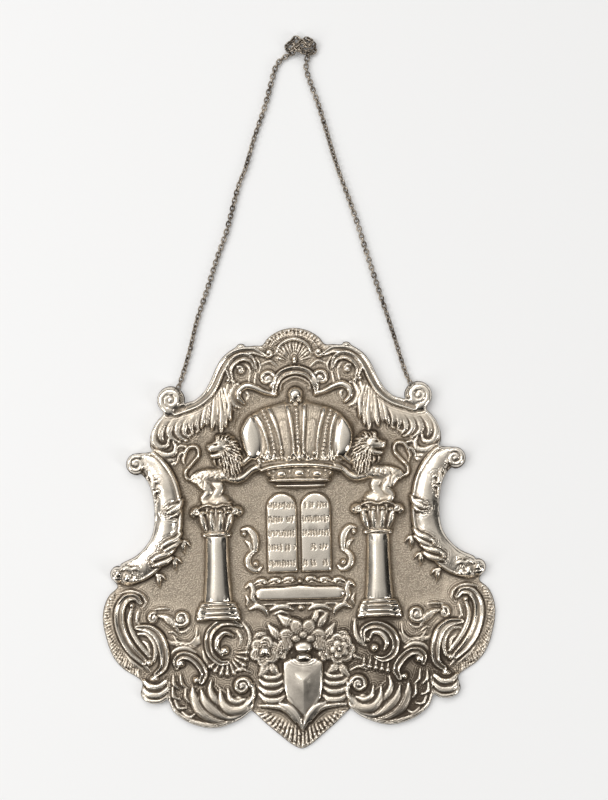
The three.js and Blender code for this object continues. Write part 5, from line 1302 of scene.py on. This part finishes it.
def make_shield():
    """Two sheets of quads over the grid's used cells, joined by a wall at the rim, and thinned out."""
    cells = mask[:-1, :-1] | mask[1:, :-1] | mask[:-1, 1:] | mask[1:, 1:]
    used = np.zeros(mask.shape, bool)
    for rows in (slice(None, -1), slice(1, None)):
        for cols in (slice(None, -1), slice(1, None)):
            used[rows, cols] |= cells
    x, y = X.copy(), Y.copy()
    stray = used & ~mask
    rim = even(np.vstack([outline, outline[:1]]), 0.2)[0]
    ox, oy = X[stray], Y[stray]
    near = np.concatenate([
        np.argmin((ox[i : i + 400, None] - rim[:, 0]) ** 2 + (oy[i : i + 400, None] - rim[:, 1]) ** 2, axis=1)
        for i in range(0, len(ox), 400)
    ])
    # corners of used cells that are outside the outline are drawn in to it
    x[stray], y[stray] = rim[near, 0], rim[near, 1]
    number = np.cumsum(used.ravel()).reshape(used.shape) - 1
    count = int(used.sum())
    top = np.stack([x[used], y[used], np.where(stray, EDGE, front)[used]], 1)
    under = np.stack([x[used], y[used], np.where(stray, 0.0, back)[used]], 1)
    quads = np.stack([number[:-1, :-1], number[:-1, 1:], number[1:, 1:], number[1:, :-1]], -1)[cells]
    ends = np.concatenate([quads[:, [k, (k + 1) % 4]] for k in range(4)])
    # an edge that only one quad has is on the rim
    key = np.sort(ends, axis=1)
    code = key[:, 0].astype(np.int64) * count + key[:, 1]
    _, first, times = np.unique(code, return_index=True, return_counts=True)
    open_ends = ends[first[times == 1]]
    wall = np.stack([open_ends[:, 1], open_ends[:, 0], open_ends[:, 0] + count, open_ends[:, 1] + count], 1)
    faces = np.concatenate([quads, quads[:, ::-1] + count, wall])
    piece = make_mesh("shield_relief", np.concatenate([top, under]), faces)
    # the fine strokes of the inscription are left as they are
    rows = np.abs(Y[..., None] - INSCRIPTION_ROWS).min(axis=-1) < 2.8
    rows &= np.abs(X - MIDDLE) < TABLET_WIDE + 0.5
    thin_out(piece, FACES, np.flatnonzero(rows[used]))
    dress(piece)
    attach(piece, "root")
    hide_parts("shield")
    return piece


def thin_out(piece, triangles, kept):
    """Collapses short edges where the sheet is smooth, and leaves the kept vertices alone."""
    present = sum(len(p.vertices) - 2 for p in piece.data.polygons)
    free = piece.vertex_groups.new(name="free")
    free.add(range(len(piece.data.vertices)), 1.0, "REPLACE")
    free.add(kept.tolist(), 0.0, "REPLACE")
    step = piece.modifiers.new("thin", "DECIMATE")
    step.ratio = triangles / present
    step.use_collapse_triangulate = True
    step.vertex_group = free.name
    step.vertex_group_factor = 1.0
    depsgraph = bpy.context.evaluated_depsgraph_get()
    mesh = bpy.data.meshes.new_from_object(piece.evaluated_get(depsgraph))
    mesh.name = piece.name
    piece.modifiers.clear()
    piece.vertex_groups.clear()
    piece.data = mesh
    for vertex in mesh.vertices:
        vertex.co.z = max(vertex.co.z, 0.0)


# Darker parts of the sheet: middle, reach and amount
TARNISH = (
    (84, -122, 26, 1.3), (-72, -124, 22, 0.7), (2, -144, 16, 0.7), (0, -78, 26, 0.9), (56, -84, 18, 0.45),
    (-122, -80, 16, 0.3),
)


def dress(piece):
    """Writes the smooth normals and what the material needs to know about each point."""
    mesh = piece.data
    co = np.empty(len(mesh.vertices) * 3, np.float32)
    mesh.vertices.foreach_get("co", co)
    co = co.reshape(-1, 3) / MM
    x, y, z = co.T
    face_z, back_z = sample(front, x, y), sample(back, x, y)
    is_face = z > (face_z + back_z) / 2
    aged = 0.3 * sample(ornate, x, y)
    for cx, cy, r, amount in TARNISH:
        aged += amount * np.exp(-0.5 * ((x - cx) ** 2 + (y - cy) ** 2) / r**2)
    hollow = np.clip((blur(front, 1.0) - front) / 0.7, -1, 1) * (1 - 0.6 * blur(ground * (1 - ornate), 0.6))
    values = {
        "cavity": np.where(is_face, sample(hollow, x, y), 0.35),
        "shine": np.where(is_face, sample(blur(shine, 0.5), x, y), 0.0),
        "ground": np.where(is_face, sample(blur(ground * (1 - 0.6 * ornate), 0.4), x, y), 0.0),
        "age": aged,
    }
    for name, value in values.items():
        attribute = mesh.attributes.new(name, "FLOAT", "POINT")
        attribute.data.foreach_set("value", value.astype(np.float32))
    normals = np.where(is_face[:, None], sample(normals_of(front, 1), x, y),
                       sample(normals_of(back, -1), x, y))
    mesh.shade_smooth()
    mesh.normals_split_custom_set_from_vertices(normals.tolist())


shield = make_shield()


# Materials


def node(tree, kind, **values):
    """A new node, with values for its inputs or its settings by name."""
    made = tree.nodes.new(kind)
    for name, value in values.items():
        if name in made.inputs:
            made.inputs[name].default_value = value
        else:
            setattr(made, name, value)
    return made


def mixed(tree, factor, low, high):
    """A colour between two others by a factor socket."""
    mix = node(tree, "ShaderNodeMix", data_type="RGBA")
    tree.links.new(factor, mix.inputs["Factor"])
    for socket, value in ((mix.inputs[6], low), (mix.inputs[7], high)):
        if isinstance(value, tuple):
            socket.default_value = (*value, 1.0)
        else:
            tree.links.new(value, socket)
    return mix.outputs[2]


def ranged(tree, value, low, high, to_low=0.0, to_high=1.0):
    """A value carried from one range to another."""
    out = node(tree, "ShaderNodeMapRange")
    for name, number in (("From Min", low), ("From Max", high), ("To Min", to_low), ("To Max", to_high)):
        out.inputs[name].default_value = number
    tree.links.new(value, out.inputs["Value"])
    return out.outputs["Result"]


def maths(tree, operation, a, b):
    """A sum, difference or product of two sockets or numbers."""
    out = node(tree, "ShaderNodeMath", operation=operation)
    for socket, value in zip(out.inputs, (a, b)):
        if isinstance(value, (int, float)):
            socket.default_value = value
        else:
            tree.links.new(value, socket)
    return out.outputs["Value"]


def noise(tree, scale, detail=4.0, roughness=0.55):
    """Noise fixed to the object."""
    place = node(tree, "ShaderNodeTexCoord")
    made = node(tree, "ShaderNodeTexNoise", Scale=scale, Detail=detail, Roughness=roughness)
    tree.links.new(place.outputs["Object"], made.inputs["Vector"])
    return made.outputs["Fac"]


def metal(name):
    """A metal material with its node tree and shader."""
    material = bpy.data.materials.new(name)
    material.use_nodes = True
    tree = material.node_tree
    shader = tree.nodes["Principled BSDF"]
    shader.inputs["Metallic"].default_value = 1.0
    return material, tree, shader


# Polished silver, dull silver, the stippled ground, and the patina in the hollows, which also stands for
# painted shade there
SILVER = (0.88, 0.805, 0.70)
DULL = (0.66, 0.565, 0.45)
GROUND = (0.61, 0.522, 0.412)
PATINA_AND_SHADE = (0.07, 0.052, 0.038)


def relief_silver():
    """Polished high forms, duller ground, and dark patina in the hollows, with painted shade mixed into it.
    """
    material, tree, shader = metal("relief_silver")
    cavity, shine, bare, age = (
        node(tree, "ShaderNodeAttribute", attribute_name=name).outputs["Fac"]
        for name in ("cavity", "shine", "ground", "age")
    )
    place = node(tree, "ShaderNodeTexCoord")
    punches = node(tree, "ShaderNodeTexVoronoi", Scale=900.0)
    tree.links.new(place.outputs["Object"], punches.inputs["Vector"])
    pits = ranged(tree, punches.outputs["Distance"], 0.1, 0.62)
    blotches = maths(tree, "MULTIPLY", maths(tree, "SUBTRACT", noise(tree, 90), 0.5), 0.5)
    # hollows darken by their depth: partly the silver's real patina, partly painted shade; the noise blotches
    # and the aged parts add real tarnish
    tarnish_and_shade = maths(tree, "ADD", cavity, blotches)
    tarnish_and_shade = maths(tree, "ADD", tarnish_and_shade, maths(tree, "MULTIPLY", age, 0.42))
    tarnish_and_shade = ranged(tree, tarnish_and_shade, 0.04, 0.74, 0.0, 0.94)
    # raised edges, where the hollow measure is below 0, turn lighter silver: partly real rubbing, partly a
    # painted highlight
    rubbed_edge_highlight = maths(tree, "MULTIPLY", cavity, -0.9)
    tone = mixed(tree, ranged(tree, maths(tree, "ADD", shine, rubbed_edge_highlight), 0.35, 0.95), DULL, SILVER)
    stains = ranged(tree, noise(tree, 14, 3), 0.4, 0.72, 0.0, 0.6)
    tone = mixed(tree, maths(tree, "MULTIPLY", stains, maths(tree, "SUBTRACT", 1.2, shine)), tone, GROUND)
    tone = mixed(tree, maths(tree, "MULTIPLY", bare, 0.85), tone, GROUND)
    grain = maths(tree, "MULTIPLY", pits, maths(tree, "ADD", maths(tree, "MULTIPLY", bare, 0.42), 0.06))
    tone = mixed(tree, grain, tone, PATINA_AND_SHADE)
    tree.links.new(mixed(tree, tarnish_and_shade, tone, PATINA_AND_SHADE), shader.inputs["Base Color"])
    wear = ranged(tree, noise(tree, 240, 3), 0.3, 0.7, -0.05, 0.07)
    rubbed = maths(tree, "ADD", shine, maths(tree, "MULTIPLY", rubbed_edge_highlight, 0.6))
    rough = maths(tree, "ADD", ranged(tree, rubbed, 0.2, 1.0, 0.46, 0.13), wear)
    rough = maths(tree, "ADD", rough, maths(tree, "MULTIPLY", tarnish_and_shade, 0.2))
    tree.links.new(rough, shader.inputs["Roughness"])
    matt = maths(tree, "MULTIPLY", maths(tree, "SUBTRACT", 1.0, shine), 0.3)
    marks = maths(tree, "MULTIPLY", pits, maths(tree, "ADD", maths(tree, "MULTIPLY", bare, 0.75), matt))
    strikes = maths(tree, "MULTIPLY", noise(tree, 1300, 2), ranged(tree, shine, 0.3, 0.9, 1.0, 0.1))
    marks = maths(tree, "ADD", marks, maths(tree, "MULTIPLY", strikes, 0.55))
    bump = node(tree, "ShaderNodeBump", Strength=0.7, Distance=0.0005)
    bump.invert = True
    tree.links.new(marks, bump.inputs["Height"])
    tree.links.new(bump.outputs["Normal"], shader.inputs["Normal"])
    return material


def wire_silver(name, tone, dark, rough):
    """Dull drawn wire with tarnish in patches."""
    material, tree, shader = metal(name)
    patches = ranged(tree, noise(tree, 160, 4), 0.35, 0.68)
    tree.links.new(mixed(tree, patches, tone, dark), shader.inputs["Base Color"])
    rough = ranged(tree, noise(tree, 500, 2), 0.3, 0.7, rough - 0.05, rough + 0.08)
    tree.links.new(rough, shader.inputs["Roughness"])
    return material


def paint():
    """Materials of the shield, the chain and the carried over loops."""
    links = wire_silver("chain_silver", (0.46, 0.40, 0.33), (0.075, 0.058, 0.044), 0.28)
    loops = wire_silver("loop_silver", (0.62, 0.57, 0.50), (0.22, 0.18, 0.14), 0.3)
    shield.data.materials.clear()
    shield.data.materials.append(relief_silver())
    chain.data.materials.append(links)
    for name in ("hanging_loop_left", "hanging_loop_right"):
        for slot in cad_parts[name].material_slots:
            slot.material = loops


paint()


# Table and light

# Brightness of the tent by the sine of the angle above the table
SKY = ((0.0, 0.05), (0.3, 0.1), (0.5, 0.34), (0.68, 0.8), (0.86, 0.84), (0.96, 0.74), (1.0, 0.72))


def make_floor():
    """A plain pale table, just under the shield."""
    size = 4.0
    mesh = bpy.data.meshes.new("table")
    corners = [(-size, -size, 0), (size, -size, 0), (size, size, 0), (-size, size, 0)]
    mesh.from_pydata(corners, [], [(0, 1, 2, 3)])
    floor = bpy.data.objects.new("table", mesh)
    floor.location = (0, 0, -0.0002)
    bpy.context.collection.objects.link(floor)
    paper = bpy.data.materials.new("table_paper")
    paper.use_nodes = True
    shader = paper.node_tree.nodes["Principled BSDF"]
    shader.inputs["Base Color"].default_value = (0.86, 0.86, 0.86, 1.0)
    shader.inputs["Roughness"].default_value = 0.9
    shader.inputs["Specular IOR Level"].default_value = 0.1
    mesh.materials.append(paper)


def make_sky():
    """A pale tent, brighter to the upper left, dim toward the viewer and near the table."""
    world = bpy.data.worlds.new("tent")
    bpy.context.scene.world = world
    world.use_nodes = True
    tree = world.node_tree
    place = node(tree, "ShaderNodeTexCoord")
    split = node(tree, "ShaderNodeSeparateXYZ")
    tree.links.new(place.outputs["Generated"], split.inputs["Vector"])
    ramp = node(tree, "ShaderNodeValToRGB")
    for i, (at, bright) in enumerate(SKY):
        stop = ramp.color_ramp.elements[i] if i < 2 else ramp.color_ramp.elements.new(at)
        stop.position = at
        stop.color = (bright, bright * 0.992, bright * 0.975, 1.0)
    tree.links.new(split.outputs["Z"], ramp.inputs["Fac"])
    across = maths(tree, "MULTIPLY", split.outputs["X"], -0.55)
    toward = maths(tree, "ADD", across, maths(tree, "MULTIPLY", split.outputs["Y"], 0.8))
    strength = ranged(tree, toward, -0.6, 0.6, 0.12, 1.9)
    tree.links.new(ramp.outputs["Color"], tree.nodes["Background"].inputs["Color"])
    tree.links.new(strength, tree.nodes["Background"].inputs["Strength"])


def softbox(name, azimuth, elevation, distance, wide, tall, power):
    """A rectangular light that looks at the shield, sizes in metres."""
    data = bpy.data.lights.new(name, "AREA")
    data.shape = "RECTANGLE"
    data.size = wide
    data.size_y = tall
    data.energy = power
    light = bpy.data.objects.new(name, data)
    a, e = math.radians(azimuth), math.radians(elevation)
    aim = Vector((math.cos(e) * math.cos(a), math.cos(e) * math.sin(a), math.sin(e)))
    light.location = aim * distance + Vector((0, 0.08, 0))
    light.rotation_euler = aim.to_track_quat("Z", "Y").to_euler()
    bpy.context.collection.objects.link(light)


make_floor()
make_sky()
softbox("left_softbox", 166, 48, 1.9, 0.7, 1.1, 8.6)
softbox("head_softbox", 100, 54, 2.0, 1.1, 0.6, 6.0)
softbox("lower_left_strip", 214, 30, 1.9, 0.25, 0.9, 5.0)
softbox("lower_right_strip", 330, 32, 1.9, 0.3, 0.9, 7.0)

bpy.context.scene.view_settings.view_transform = "Standard"
